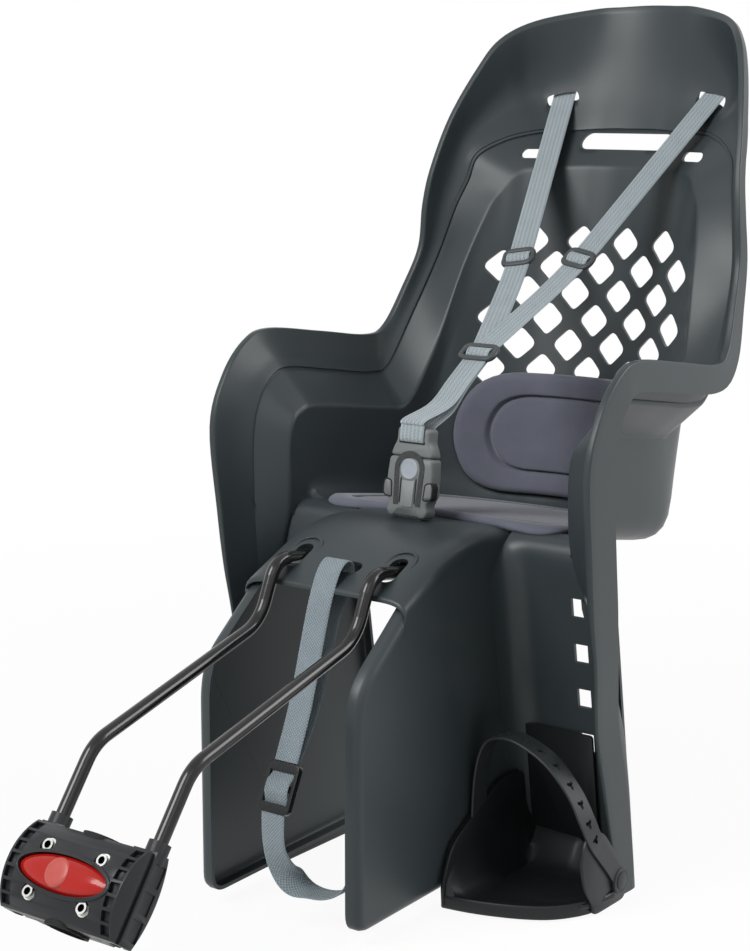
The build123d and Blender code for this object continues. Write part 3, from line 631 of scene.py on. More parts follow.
def dress(piece: bpy.types.Object, material: bpy.types.Material) -> None:
    """Give a piece one material."""
    piece.data.materials.clear()
    piece.data.materials.append(material)


def dress_node(node: str, material: bpy.types.Material) -> None:
    """Give a solid that stays in view its material."""
    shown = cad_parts[node]
    if not shown.material_slots:
        shown.data.materials.append(material)
    for slot in shown.material_slots:
        slot.material = material


def seat(piece: bpy.types.Object, body: str, finish: str, *nodes: str) -> None:
    """Let a piece ride on a body and stand for solids.

    Args:
        piece: the new piece.
        body: the body that carries it.
        finish: not used.
        nodes: the solids that it replaces.
    """
    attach(piece, body)
    if nodes:
        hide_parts(*nodes)
    log.info("%s rides on %s, %d faces", piece.name, body, len(piece.data.polygons))


def fit(
    piece: bpy.types.Object, material: bpy.types.Material, body: str, finish: str, *nodes: str
) -> None:
    """Dress a piece in a material and seat it on a body."""
    dress(piece, material)
    seat(piece, body, finish, *nodes)


def weave_map(piece: bpy.types.Object, across: np.ndarray, along: np.ndarray) -> None:
    """Write each corner's place across and along a strap, in metres, into the weave map."""
    mesh = piece.data
    layer = mesh.uv_layers.new(name="weave")
    corner = np.empty(len(mesh.loops), dtype=int)
    mesh.loops.foreach_get("vertex_index", corner)
    flat = np.stack([across.ravel()[corner], along.ravel()[corner]], axis=1)
    layer.data.foreach_set("uv", flat.ravel())


def strap_ribbon(
    name: str, path: np.ndarray, across: np.ndarray, width: float | np.ndarray, thickness: float
) -> bpy.types.Object:
    """Flat strap: a thin rounded section carried along a path, flat across a given direction.

    Args:
        name: the piece's name.
        path: centre line in metres.
        across: direction of the strap's width at each point of the path.
        width: full width in metres, one for all points or one for each.
        thickness: full thickness in metres.

    Returns:
        The closed strap with its weave map.
    """
    heading = unit(np.gradient(path, axis=0))
    side = unit(across - heading * np.sum(across * heading, axis=1, keepdims=True))
    face = unit(np.cross(heading, side))
    rows = len(path)
    edge = np.broadcast_to(np.asarray(width, dtype=float) / 2, rows)[:, None]
    flat = np.linspace(-0.95, 0.95, 9)
    top = np.stack([flat, np.ones(9)], axis=1)
    section = np.concatenate([top, [[1.0, 0.0]], top[::-1] * [1, -1], [[-1.0, 0.0]]])
    spread = edge * section[None, :, 0]
    lift = section[:, 1] * thickness / 2
    points = path[:, None] + side[:, None] * spread[..., None] + face[:, None] * lift[None, :, None]
    columns = len(section)
    faces = grid_faces(rows, columns, wrap_columns=True).reshape(-1, 4).tolist()
    faces += [list(range(columns))[::-1], [(rows - 1) * columns + n for n in range(columns)]]
    piece = new_object(name, points, faces)
    length = np.concatenate([[0], np.cumsum(np.linalg.norm(np.diff(path, axis=0), axis=1))])
    weave_map(piece, spread, np.repeat(length[:, None], columns, axis=1))
    crease_shade(piece, 60.0)
    return piece


def inset_outline(outline: np.ndarray, inset: float) -> np.ndarray:
    """Move a closed flat outline, counter-clockwise, inwards along its own normals."""
    ahead = unit(np.roll(outline, -1, axis=0) - np.roll(outline, 1, axis=0))
    inward = np.stack([-ahead[:, 1], ahead[:, 0]], axis=1)
    return outline + inward * inset


def closed_curve(
    corners: Sequence[tuple[float, float]], radius: float, arc: int = 6, flat: int = 4
) -> np.ndarray:
    """Closed flat outline with every corner rounded.

    Args:
        corners: the outline's corners, counter-clockwise.
        radius: how far from a corner its rounding starts.
        arc: points on each rounding.
        flat: points added on each straight side.

    Returns:
        The outline's points, one row each.
    """
    ring = np.asarray(corners, dtype=float)
    start = (ring[-1] + ring[0]) / 2
    loop = np.concatenate([[start], ring, [start]])
    spread = np.concatenate([loop, np.zeros((len(loop), 1))], axis=1)[None]
    return rounded_section(spread, [radius] * len(ring), arc, [flat] * (len(ring) + 1))[0, :-1, :2]


@dataclass
class FlatPlane:
    """A plane with its own right, up and outward directions, in millimetres."""

    origin: tuple[float, float, float]
    right: tuple[float, float, float]
    up: tuple[float, float, float]

    def place(self, flat: np.ndarray, out: np.ndarray | float) -> np.ndarray:
        """Points of the plane lifted outwards, in metres.

        Args:
            flat: places along right and up, the last axis of size two.
            out: height over the plane.

        Returns:
            Points in space.
        """
        right = unit(np.array(self.right, dtype=float))
        up = unit(np.array(self.up, dtype=float))
        outward = np.cross(right, up)
        lift = np.broadcast_to(np.asarray(out, dtype=float), flat.shape[:-1])[..., None]
        return MM * (np.array(self.origin) + flat[..., :1] * right + flat[..., 1:] * up + lift * outward)


def stepped_plate(
    name: str, plane: FlatPlane, outline: np.ndarray, steps: Sequence[tuple[float, float]]
) -> bpy.types.Object:
    """Closed plate whose outline shrinks by an inset at each height, with flat ends.

    Args:
        name: the piece's name.
        plane: where the outline lies.
        outline: closed outline in the plane, counter-clockwise, in millimetres.
        steps: pairs of inset and height, from the back face to the front.

    Returns:
        The plate.
    """
    rings = np.stack([plane.place(inset_outline(outline, inset), height) for inset, height in steps])
    rows, columns = rings.shape[:2]
    faces = grid_faces(rows, columns, wrap_columns=True).reshape(-1, 4).tolist()
    faces += [list(range(columns))[::-1], [(rows - 1) * columns + n for n in range(columns)]]
    piece = new_object(name, rings, faces)
    settle(piece)
    crease_shade(piece, 40.0)
    return piece


SHELL = MouldedPlastic("shell_plastic", (0.036, 0.046, 0.050), roughness=0.36)
BLOCK = MouldedPlastic("block_plastic", (0.014, 0.015, 0.017), roughness=0.36, grain=700.0)
FOOT = MouldedPlastic("foot_plastic", (0.012, 0.014, 0.015), roughness=0.38)
BAND = MouldedPlastic("foot_band_plastic", (0.022, 0.026, 0.027), roughness=0.42)
FITTING = MouldedPlastic("fitting_plastic", (0.055, 0.063, 0.066), roughness=0.36)
LOCK = MouldedPlastic("lock_plastic", (0.012, 0.013, 0.014), roughness=0.28)
BUCKLE = MouldedPlastic("buckle_plastic", (0.17, 0.182, 0.184), roughness=0.42, grain=1100.0)
SPINE = MouldedPlastic("buckle_spine_plastic", (0.24, 0.255, 0.255), roughness=0.42, grain=1100.0)
DISC = MouldedPlastic("disc_plastic", (0.36, 0.39, 0.43), roughness=0.34, grain=1100.0)
# black rubber of the tube liner, and painted shade in the buckle's slits, round its tabs and in the tongue's
# slot
LINER_AND_SLOT_SHADE = MouldedPlastic("liner_rubber_and_slot_shade", (0.010, 0.010, 0.010), roughness=0.75)
ROD = GlossCoat("rod_lacquer", (0.006, 0.006, 0.006), roughness=0.2, coat=0.35)
BRACKET = GlossCoat("bracket_lacquer", (0.02, 0.02, 0.022), roughness=0.35, coat=0.1)
LENS = GlossCoat("lens_red", (0.42, 0.010, 0.006), roughness=0.16, coat=0.15)
LENS_DISC = GlossCoat("lens_disc", (0.50, 0.09, 0.075), roughness=0.32, coat=0.1)
STEEL = PlatedSteel("plated_steel")
BOLT = SocketShadeSteel("bolt_steel_socket_shade")
SHOULDER_CLOTH = Webbing("shoulder_webbing", (0.36, 0.42, 0.45), Weave.HERRINGBONE, 0.0028)
SAFETY_CLOTH = Webbing("safety_webbing", (0.24, 0.295, 0.325), Weave.PLAIN, 0.003)
PAD_CLOTH = Velour("pad_velour", (0.125, 0.13, 0.168))
SEAT_CLOTH = Velour("seat_velour", (0.125, 0.135, 0.17))
TRACK = Knurl("track_plastic", (0.06, 0.066, 0.068))


@dataclass
class SeatShell:
    """The one-piece moulding: head bowl, terraced wings, tub, pan, leg channels. Sizes in millimetres."""

    foot_level: float = -113.0
    wall: float = 3.6
    rail_steps: int = 6
    rim: tuple = (
        (199.5, 475, -112.5), (199.5, 467, -98), (199.5, 453, -57), (199.5, 439, -5), (199.7, 424, 48),
        (203, 414, 110), (204, 406, 150), (205, 399, 203), (206, 391, 286), (206, 410, 334),
        (206, 441, 364), (205, 476, 373), (202, 555, 363), (199, 628, 353), (196, 656, 361),
        (189, 681, 400), (183, 700, 439), (180, 703, 482), (175, 710, 520), (166, 731, 572),
        (151, 759, 621), (136, 779, 651), (110, 806, 669), (60, 837, 680), (30, 847, 682), (0, 850, 683),
    )
    ledge_foot: tuple = (
        (199.4, 492, -113), (199.4, 490, -104), (199.4, 484, -57), (199.4, 474, -5), (199, 461, 48),
        (195, 443, 110), (188, 436, 150), (186, 430, 203), (186, 429, 276), (186, 440, 312),
        (186, 458, 330), (185, 482, 335), (185, 550, 325), (184, 612, 316), (183, 644, 322),
        (180, 682, 372), (172, 716, 430), (162, 733, 479), (154, 745, 507), (148, 754, 532),
        (128, 773, 547), (108, 790, 554), (88, 806, 557), (48, 817, 559), (24, 820, 560), (0, 821, 560),
    )
    ledge_edge: tuple = (
        (199, 497, -113), (199, 496, -104), (199, 489, -57), (198.8, 481, -5), (197, 471, 48),
        (189, 457, 110), (176, 452, 150), (157, 448, 203), (155, 446, 266), (155, 453, 290),
        (155, 466, 298), (154, 484, 301), (153, 545, 293), (152, 600, 285), (149, 634, 287),
        (143, 672, 340), (133, 706, 420), (121, 735, 478), (114, 746, 496), (104, 755, 511), (94, 762, 518),
        (82, 767, 521), (66, 772, 522), (36, 779, 524), (18, 781, 524), (0, 782, 524),
    )
    tub_foot: tuple = (
        (153.5, 474, 203), (153.5, 483, 203.5), (153.5, 493, 201.5), (153.5, 505, 199.5),
        (153.5, 522, 196.5), (153.5, 560, 190), (153.5, 598, 184), (151, 630, 178), (140, 652, 174),
        (122, 670, 171), (104, 682, 169), (90, 688, 168), (78, 692, 168), (66, 695, 167), (54, 697, 167),
        (42, 699, 166), (22, 701, 166), (11, 702, 166), (0, 702, 166),
    )
    bowl_depth: tuple = (0,) * 17 + (3, 7, 11, 17, 23, 26, 9, 5, 4)
    bowl_share: float = 0.6
    ledge_step: tuple = (0,) * 8 + (1, 2) + (2.6,) * 16
    rim_inset: tuple = (0,) * 6 + (1.4,) + (2.8,) * 19
    lip_depth: tuple = (
        22, 28, 34, 36, 37, 38, 42, 42, 42, 36, 30, 28, 28, 27, 25, 20, 16, 13, 12, 11, 10, 9, 8, 8, 8, 8,
    )
    first_tub_station: int = 7
    first_back_station: int = 15
    tub_low: tuple = (150.0, 697.0)
    tub_lean: float = 35 / 150
    tub_radius: float = 195.0
    tub_corner: float = 46.0
    pan_overlap: float = 90.0
    lattice_pitch: tuple = (25.5, 26.1)
    lattice_top: float = 447.3
    lattice_side: float = 26.0
    lattice_corner: float = 8.0
    handle_slot: tuple = (104.0, 16.0, 548.0)
    small_slot: tuple = (28.0, 9.0, 92.0, 535.0)
    harness_slot: tuple = (88.0, 827.0, 593.0)
    kink: tuple = (31.4, 649.6, 426.3)
    panel_outer: float = 87.6
    panel_flange: float = 13.6
    leg_hole: tuple = (161.0, 14.0, 18.0)
    leg_hole_rows: tuple = (150.0, 107.0, 64.0, 21.0)
    pan_crest: tuple = (385.0, 222.2)
    pan_drop: float = 0.159
    apron_low: tuple = (300.0, 175.0)
    apron_middle: tuple = (0.0, 341.0, 197.8)
    apron_slope: float = 29.05
    rod_slot: tuple = (34.0, 16.0, 52.0, -11.0)
    strap_slot: tuple = (40.0, 15.0, -16.0)
    panel_curve: float = 26.0
    pieces: list = field(default_factory=list)

    def mirrored(self, rail: Sequence) -> np.ndarray:
        """Carry a right-hand rail over the centre line, with every span smoothly divided."""
        right = np.array(rail, dtype=float)
        whole = np.concatenate([right, right[-2::-1] * [-1, 1, 1]])
        return smooth_rail(whole, self.rail_steps)

    def whole(self, values: Sequence[float]) -> np.ndarray:
        """Carry right-hand numbers over the centre line, with every span smoothly divided."""
        right = np.array(values, dtype=float)
        return smooth_rail(np.concatenate([right, right[-2::-1]])[:, None], self.rail_steps)

    def tub_depth(self, x: np.ndarray, height: np.ndarray) -> np.ndarray:
        """How far back the tub's leaning cylinder stands at a place across and a height."""
        centre = self.tub_low[1] + (height - self.tub_low[0]) * self.tub_lean
        return centre - self.tub_radius + np.sqrt(self.tub_radius**2 - x**2)

    def tub_rails(self, edge: np.ndarray, foot: np.ndarray) -> list[np.ndarray]:
        """Right-hand points of the tub's wall below the ledge, the back ones on the cylinder.

        Args:
            edge: points of the ledge's edge.
            foot: points of the tub's foot.

        Returns:
            One rail for each share of the way down.
        """
        rails = []
        for share in (0.2, 0.3, 1.0):
            rail = edge + (foot - edge) * share
            back = np.arange(len(rail)) >= self.first_back_station
            depth = self.tub_depth(np.minimum(np.abs(rail[:, 0]), 153.5), rail[:, 2])
            rail[:, 1] = np.where(back, depth, rail[:, 1])
            rails.append(rail)
        return rails

    def pan_edge(self, foot: np.ndarray) -> np.ndarray:
        """Right-hand points on the pan, inside the tub's foot, with room for a round corner.

        Args:
            foot: points of the tub's foot.

        Returns:
            One point of the pan for each point of the foot.
        """
        middle = np.array([0.0, self.tub_low[1] - self.tub_radius])
        way = unit(np.where(foot[:, 1:2] > middle[1], middle - foot[:, :2], [-1.0, 0.0]))
        in_tub = np.arange(len(foot)) > self.first_tub_station
        reach = np.where(in_tub, self.pan_overlap, 6.0)[:, None]
        inner = foot.copy()
        inner[:, :2] += way * reach
        inner[:, 2] = np.where(in_tub, self.pan_height(inner[:, 1]) - 0.6, foot[:, 2])
        return inner

    def leg_wall_y(self, height: np.ndarray | float) -> np.ndarray | float:
        """Front face of the leg's back wall at a height."""
        return 450.0 + (200.0 - height) * 0.16

    def skin(self) -> bpy.types.Object:
        """Main skin: rounded cross sections carried along the rails from leg to leg over the head.

        Returns:
            The skin as an open sheet.
        """
        rim, foot, edge = (self.mirrored(rail) for rail in (self.rim, self.ledge_foot, self.ledge_edge))
        along = np.gradient(rim, axis=0)
        turn = np.linspace(1, -1, len(rim))[:, None]
        back = np.stack([np.zeros(len(rim)), along[:, 2], -along[:, 1]], axis=1) * np.sign(turn + 1e-9)
        head = np.maximum(0, rim[:, 2:] - 520) * 0.6 / 40
        back = unit(unit(back) * np.maximum(0, 1 - head) + head * [0, 1, -0.4])
        lip = rim + back * self.whole(self.lip_depth)
        outward = unit(np.cross(lip - rim, along))
        flat = rim + (foot - rim) * self.bowl_share
        behind = unit(np.cross(foot - rim, along))
        bowl = flat + behind * self.whole(self.bowl_depth)
        edge_right = np.array(self.ledge_edge, dtype=float)
        leg = edge_right[: self.first_tub_station] - [6, 0, 0]
        leg[:, 1] = self.leg_wall_y(leg[:, 2]) + 1
        foot_right = np.concatenate([leg, np.array(self.tub_foot, dtype=float)])
        tub = [self.mirrored(rail) for rail in self.tub_rails(edge_right, foot_right)]
        shift = outward * self.wall
        inner = self.mirrored(self.pan_edge(foot_right))
        front = rim - outward * self.whole(self.rim_inset)
        step = foot - behind * self.whole(self.ledge_step)
        corners = np.stack([lip + shift, rim + shift, front, bowl, step, foot, edge, *tub, inner], axis=1)
        radii = [radius * MM for radius in (1.9, 1.9, 60, 1.6, 1.6, 4, 40, 40, self.tub_corner)]
        section = rounded_section(corners * MM, radii, 7, (3, 1, 3, 3, 1, 3, 4, 4, 6, 3))
        rows, columns = section.shape[:2]
        faces = grid_faces(rows, columns)
        piece = new_object("shell_skin", section, faces.reshape(-1, 4).tolist())
        work = bmesh.new()
        work.from_mesh(piece.data)
        bmesh.ops.recalc_face_normals(work, faces=work.faces)
        work.to_mesh(piece.data)
        work.free()
        return piece

    def cutters(self) -> bpy.types.Object:
        """Prisms of every lattice hole and slot, joined in one cutting body.

        Returns:
            The cutting body.
        """
        half = self.lattice_side / np.sqrt(2)
        diamond = closed_curve([(0, -half), (half, 0), (0, half), (-half, 0)], self.lattice_corner, 6, 1)
        prisms = []
        for row in range(6):
            count = 4 if row % 2 == 0 else 5
            across = (np.arange(count) - (count - 1) / 2) * 2 * self.lattice_pitch[0]
            height = self.lattice_top - row * self.lattice_pitch[1]
            prisms += [(diamond + [x, height], (690.0, 840.0)) for x in across]
        length, tall, height = self.handle_slot
        prisms.append((self.slot_outline(length, tall) + [0, height], (700.0, 900.0)))
        length, tall, x, height = self.small_slot
        prisms += [(self.slot_outline(length, tall) + [side * x, height], (700.0, 900.0)) for side in (-1, 1)]
        points, faces = [], []
        for outline, depths in prisms:
            upright = np.insert(outline, 1, 0.0, axis=1)
            ring = [upright + [0, y, 0] for y in depths]
            self.add_prism(points, faces, np.stack(ring))
        for side in (-1, 1):
            slot = np.array(self.harness_slot) * [side, 1, 1]
            run = unit(slot - np.array(self.kink) * [side, 1, 1])
            across = unit(np.array([1.0, 0, 0]) - run * run[0])
            upward = np.cross(run, across)
            outline = self.slot_outline(37.0, 7.5)
            flat = slot + outline[:, :1] * across + outline[:, 1:] * upward
            ring = [flat + run * reach for reach in (-30, 30)]
            self.add_prism(points, faces, np.stack(ring))
        cutter = new_object("shell_cutter", np.concatenate(points) * MM, faces)
        settle(cutter)
        return cutter

    def slot_outline(self, length: float, tall: float) -> np.ndarray:
        """Closed outline of a slot with round ends."""
        turn = np.linspace(-np.pi / 2, np.pi / 2, 9)
        cap = np.stack([np.cos(turn), np.sin(turn)], axis=1) * tall / 2
        shift = np.array([(length - tall) / 2, 0])
        return np.concatenate([cap + shift, -cap - shift])

    def add_prism(self, points: list, faces: list, rings: np.ndarray) -> None:
        """Add a closed prism between two rings to lists of points and faces.

        Args:
            points: points so far, added to.
            faces: faces so far, added to.
            rings: the two rings.
        """
        first = sum(len(part) for part in points)
        count = rings.shape[1]
        sides = grid_faces(2, count, wrap_columns=True).reshape(-1, 4) + first
        faces += sides.tolist()
        faces += [[first + n for n in range(count)][::-1], [first + count + n for n in range(count)]]
        points.append(rings.reshape(-1, 3))

    def pan_height(self, y: np.ndarray) -> np.ndarray:
        """Height of the pan's top: apron slope and pan slope, eased together over the crest."""
        low_y, low_z = self.apron_low
        slope = (self.pan_crest[1] - low_z) / (self.pan_crest[0] - low_y)
        rising = low_z + (y - low_y) * slope
        falling = self.pan_crest[1] - (y - self.pan_crest[0]) * self.pan_drop
        ease = 18.0
        return -ease * np.log(np.exp(-rising / ease) + np.exp(-falling / ease)) + 4.0

    def pan(self) -> bpy.types.Object:
        """Pan behind the legs: straight rows across, narrowing along the tub's round back.

        Returns:
            The pan as an open sheet.
        """
        y = np.linspace(470, 666, 40)
        radius = self.tub_radius - 34
        arc = np.sqrt(np.maximum(0, radius**2 - (y - 507) ** 2))
        half = np.where(y < 507, 120.0, np.minimum(120.0, arc))
        across = np.linspace(-1, 1, 41)
        x = half[:, None] * across
        depth = np.broadcast_to(y[:, None], x.shape)
        height = np.broadcast_to(self.pan_height(y)[:, None], x.shape)
        grid = np.stack([x, depth, height], -1)
        piece = new_object("shell_pan", grid * MM, grid_faces(*grid.shape[:2]).reshape(-1, 4).tolist())
        face_towards(piece, Vector((0, 0, 1)))
        return piece

    def apron(self) -> bpy.types.Object:
        """Apron: its slope runs over the crest, and its sides curve down into the leg panels.

        Returns:
            The apron as an open sheet.
        """
        y = np.linspace(self.apron_low[0], 505, 72)
        top = self.pan_height(y) - 0.8 * np.clip((y - 462) / 8, 0, 1)
        roll = np.array([[-2.6, -5.0], [-2.4, -2.8], [-1.5, -1.0]])
        y = np.concatenate([roll[:, 0] + y[0], y])
        top = np.concatenate([roll[:, 1] + top[0], top])
        half = np.full_like(y, self.panel_outer + 0.15)
        side = np.clip((y - 300) * 0.35, 0, 12) + self.panel_curve + 1
        places = ((-half, top - side), (-half, top), (half, top), (half, top - side))
        corners = np.stack([np.stack([x, y, z], -1) for x, z in places], axis=1)
        curve = self.panel_curve * MM
        section = rounded_section(corners * MM, [curve, curve], 9, (2, 24, 2))
        piece = new_object("shell_apron", section, grid_faces(*section.shape[:2]).reshape(-1, 4).tolist())
        face_towards(piece, Vector((0, 0, 1)))
        return piece

    def apron_cutters(self) -> bpy.types.Object:
        """Prisms of the rod holes and the safety strap's slot, square to the apron.

        Returns:
            The cutting body.
        """
        tilt = radians(self.apron_slope)
        up = np.array([0, cos(tilt), sin(tilt)])
        out = np.array([0, -sin(tilt), cos(tilt)])
        base = np.array(self.apron_middle)
        upright = self.slot_outline(*self.rod_slot[:2])[:, ::-1] * [1, -1]
        rod = [upright + [side * self.rod_slot[2], self.rod_slot[3]] for side in (-1, 1)]
        strap = self.slot_outline(*self.strap_slot[:2]) + [0, self.strap_slot[2]]
        points, faces = [], []
        for outline in (*rod, strap):
            flat = base + outline[:, :1] * [1, 0, 0] + outline[:, 1:] * up
            self.add_prism(points, faces, np.stack([flat - 14 * out, flat + 10 * out]))
        cutter = new_object("apron_cutter", np.concatenate(points) * MM, faces)
        settle(cutter)
        return cutter

    def opening_rims(self) -> list[bpy.types.Object]:
        """Low rounded rims round the rod holes and the strap's slot.

        Returns:
            The rims.
        """
        tilt = radians(self.apron_slope)
        plane = FlatPlane(self.apron_middle, (1, 0, 0), (0, cos(tilt), sin(tilt)))
        upright = self.slot_outline(self.rod_slot[0] + 13, self.rod_slot[1] + 11)[:, ::-1] * [-1, 1]
        outlines = [upright + [side * self.rod_slot[2], self.rod_slot[3] + 3] for side in (-1, 1)]
        length, tall, height = self.strap_slot
        outlines.append(self.slot_outline(length + 6, tall + 6) + [0, height])
        rims = []
        for number, outline in enumerate(outlines):
            if outline_area(outline) < 0:
                outline = outline[::-1]
            rims.append(ring_frame(f"opening_rim_{number}", plane, outline, (1.5, 1.0), 0.4))
        return rims

    def panel(self, side: int) -> bpy.types.Object:
        """Inner leg panel: a flat tray whose front and lower edges turn in, rounded at the turn.

        Args:
            side: 1 for the right, -1 for the left.

        Returns:
            The panel as an open sheet.
        """
        low, high = self.leg_wall_y(-95.0) + 2, self.leg_wall_y(186.0) + 2
        corners = [(318, 181), (241, 118), (231, 92), (231, -100), (low, -93), (high, 186), (372, 199)]
        outline = closed_curve(corners, 18, 8, 10)
        if outline_area(outline) < 0:
            outline = outline[::-1]
        steps = ((9, 0), (7.5, 0), (4.2, 0.5), (1.4, 2.6), (0, 6.5), (0, self.panel_flange))
        rings = np.stack(
            [
                np.insert(inset_outline(outline, inset), 0, self.panel_outer - depth, axis=1) * [side, 1, 1]
                for inset, depth in steps
            ]
        )
        rows, columns = rings.shape[:2]
        faces = grid_faces(rows, columns, wrap_columns=True).reshape(-1, 4).tolist()
        faces.append(list(range(columns))[::-1])
        piece = new_object("shell_panel_right" if side > 0 else "shell_panel_left", rings * MM, faces)
        settle(piece)
        face_towards(piece, Vector((side, 0, 0)))
        return piece

    def leg_wall(self, side: int) -> bpy.types.Object:
        """Leg's back wall: falls from the pan over a round edge, curves into the panel, with open holes.

        Args:
            side: 1 for the right, -1 for the left.

        Returns:
            The wall as an open sheet.
        """
        centre, wide, tall = self.leg_hole
        marks = [row + shift for row in self.leg_hole_rows for shift in (-tall / 2, tall / 2)]
        height = np.unique([-104.0, -70, -30, *marks, 172])[::-1]
        turn = np.linspace(0, 1, 9)[:, None]
        pan_end = np.array([478.0, self.pan_height(np.array(478.0))])
        corner = np.array([self.leg_wall_y(208.0), self.pan_height(np.array(452.0))])
        wall_end = np.array([self.leg_wall_y(184.0), 184.0])
        over = (1 - turn) ** 2 * pan_end + 2 * turn * (1 - turn) * corner + turn**2 * wall_end
        profile = np.concatenate([over, np.stack([self.leg_wall_y(height), height], -1)])
        curve = self.panel_curve
        near = self.panel_outer + curve * (1 - np.cos(np.linspace(0, np.pi / 2, 9)))
        x = np.concatenate([near, [131, centre - wide / 2, centre + wide / 2, 182, 199]])
        inside = np.clip((x - self.panel_outer) / curve, 0, 1)
        bulge = curve * (1 - np.sqrt(1 - (1 - inside) ** 2))
        reach = np.clip((profile[:, 1] - 184) / 12, 0, 1)[:, None]
        grid_x = np.minimum(x, 199 - 44 * reach)
        drop = np.clip((206 - profile[:, 1]) / 30, 0, 1)[:, None]
        grid_y = profile[:, :1] - bulge * drop
        grid_z = np.broadcast_to(profile[:, 1:], grid_x.shape)
        grid = np.stack([side * grid_x, grid_y, grid_z], -1)
        faces = grid_faces(*grid.shape[:2])
        middle = (profile[:-1, 1] + profile[1:, 1]) / 2
        in_rows = np.any([abs(middle - row) < tall / 2 for row in self.leg_hole_rows], axis=0)
        in_columns = abs((x[:-1] + x[1:]) / 2 - centre) < wide / 2
        solid = ~(in_rows[:, None] & in_columns[None, :])
        name = "leg_wall_right" if side > 0 else "leg_wall_left"
        piece = new_object(name, grid * MM, faces[solid].tolist())
        settle(piece)
        face_towards(piece, Vector((0, -1, 0.2)))
        return piece

    def build(self) -> None:
        """Make every piece of the moulding and cut its openings."""
        skin = self.skin()
        self.face_inwards(skin)
        thicken(skin, self.wall * MM)
        cut_away(skin, self.cutters())
        crease_shade(skin, 42.0)
        pan = self.pan()
        apron = self.apron()
        panels = [self.panel(side) for side in (1, -1)]
        walls = [self.leg_wall(side) for side in (1, -1)]
        for sheet in (pan, apron, *panels, *walls):
            thicken(sheet, self.wall * MM)
        cut_away(apron, self.apron_cutters())
        for sheet in (pan, apron, *panels, *walls):
            apply_modifiers(sheet)
            crease_shade(sheet, 42.0)
        self.pieces = [skin, pan, apron, *panels, *walls, *self.opening_rims()]
        for piece in self.pieces:
            self.level_feet(piece)

    def level_feet(self, piece: bpy.types.Object) -> None:
        """Lift what hangs below the legs' ends to their level."""
        points = np.empty(len(piece.data.vertices) * 3)
        piece.data.vertices.foreach_get("co", points)
        points[2::3] = np.maximum(points[2::3], self.foot_level * MM)
        piece.data.vertices.foreach_set("co", points)
        piece.data.update()

    def face_inwards(self, skin: bpy.types.Object) -> None:
        """Turn the skin so that the tub's inside is its front.

        Args:
            skin: the shell's skin.
        """
        work = bmesh.new()
        work.from_mesh(skin.data)
        work.faces.ensure_lookup_table()
        middles = [(face, face.calc_center_median()) for face in work.faces]
        inside = [face for face, spot in middles if abs(spot.x) < 0.03 and 0.3 < spot.z < 0.5]
        if sum(face.normal.y for face in inside) > 0:
            bmesh.ops.reverse_faces(work, faces=work.faces)
        work.to_mesh(skin.data)
        work.free()

    def dress(self) -> None:
        """Give the moulding its plastic and seat it on the frame."""
        plastic = SHELL.material()
        for piece in self.pieces:
            fit(piece, plastic, "seat", "shell", "seat_shell")
        dress_node("strap_stud", plastic)


def outline_area(outline: np.ndarray) -> float:
    """Signed area of a closed flat outline, over nought when counter-clockwise."""
    ahead = np.roll(outline, -1, axis=0)
    return float(np.sum(outline[:, 0] * ahead[:, 1] - ahead[:, 0] * outline[:, 1]) / 2)


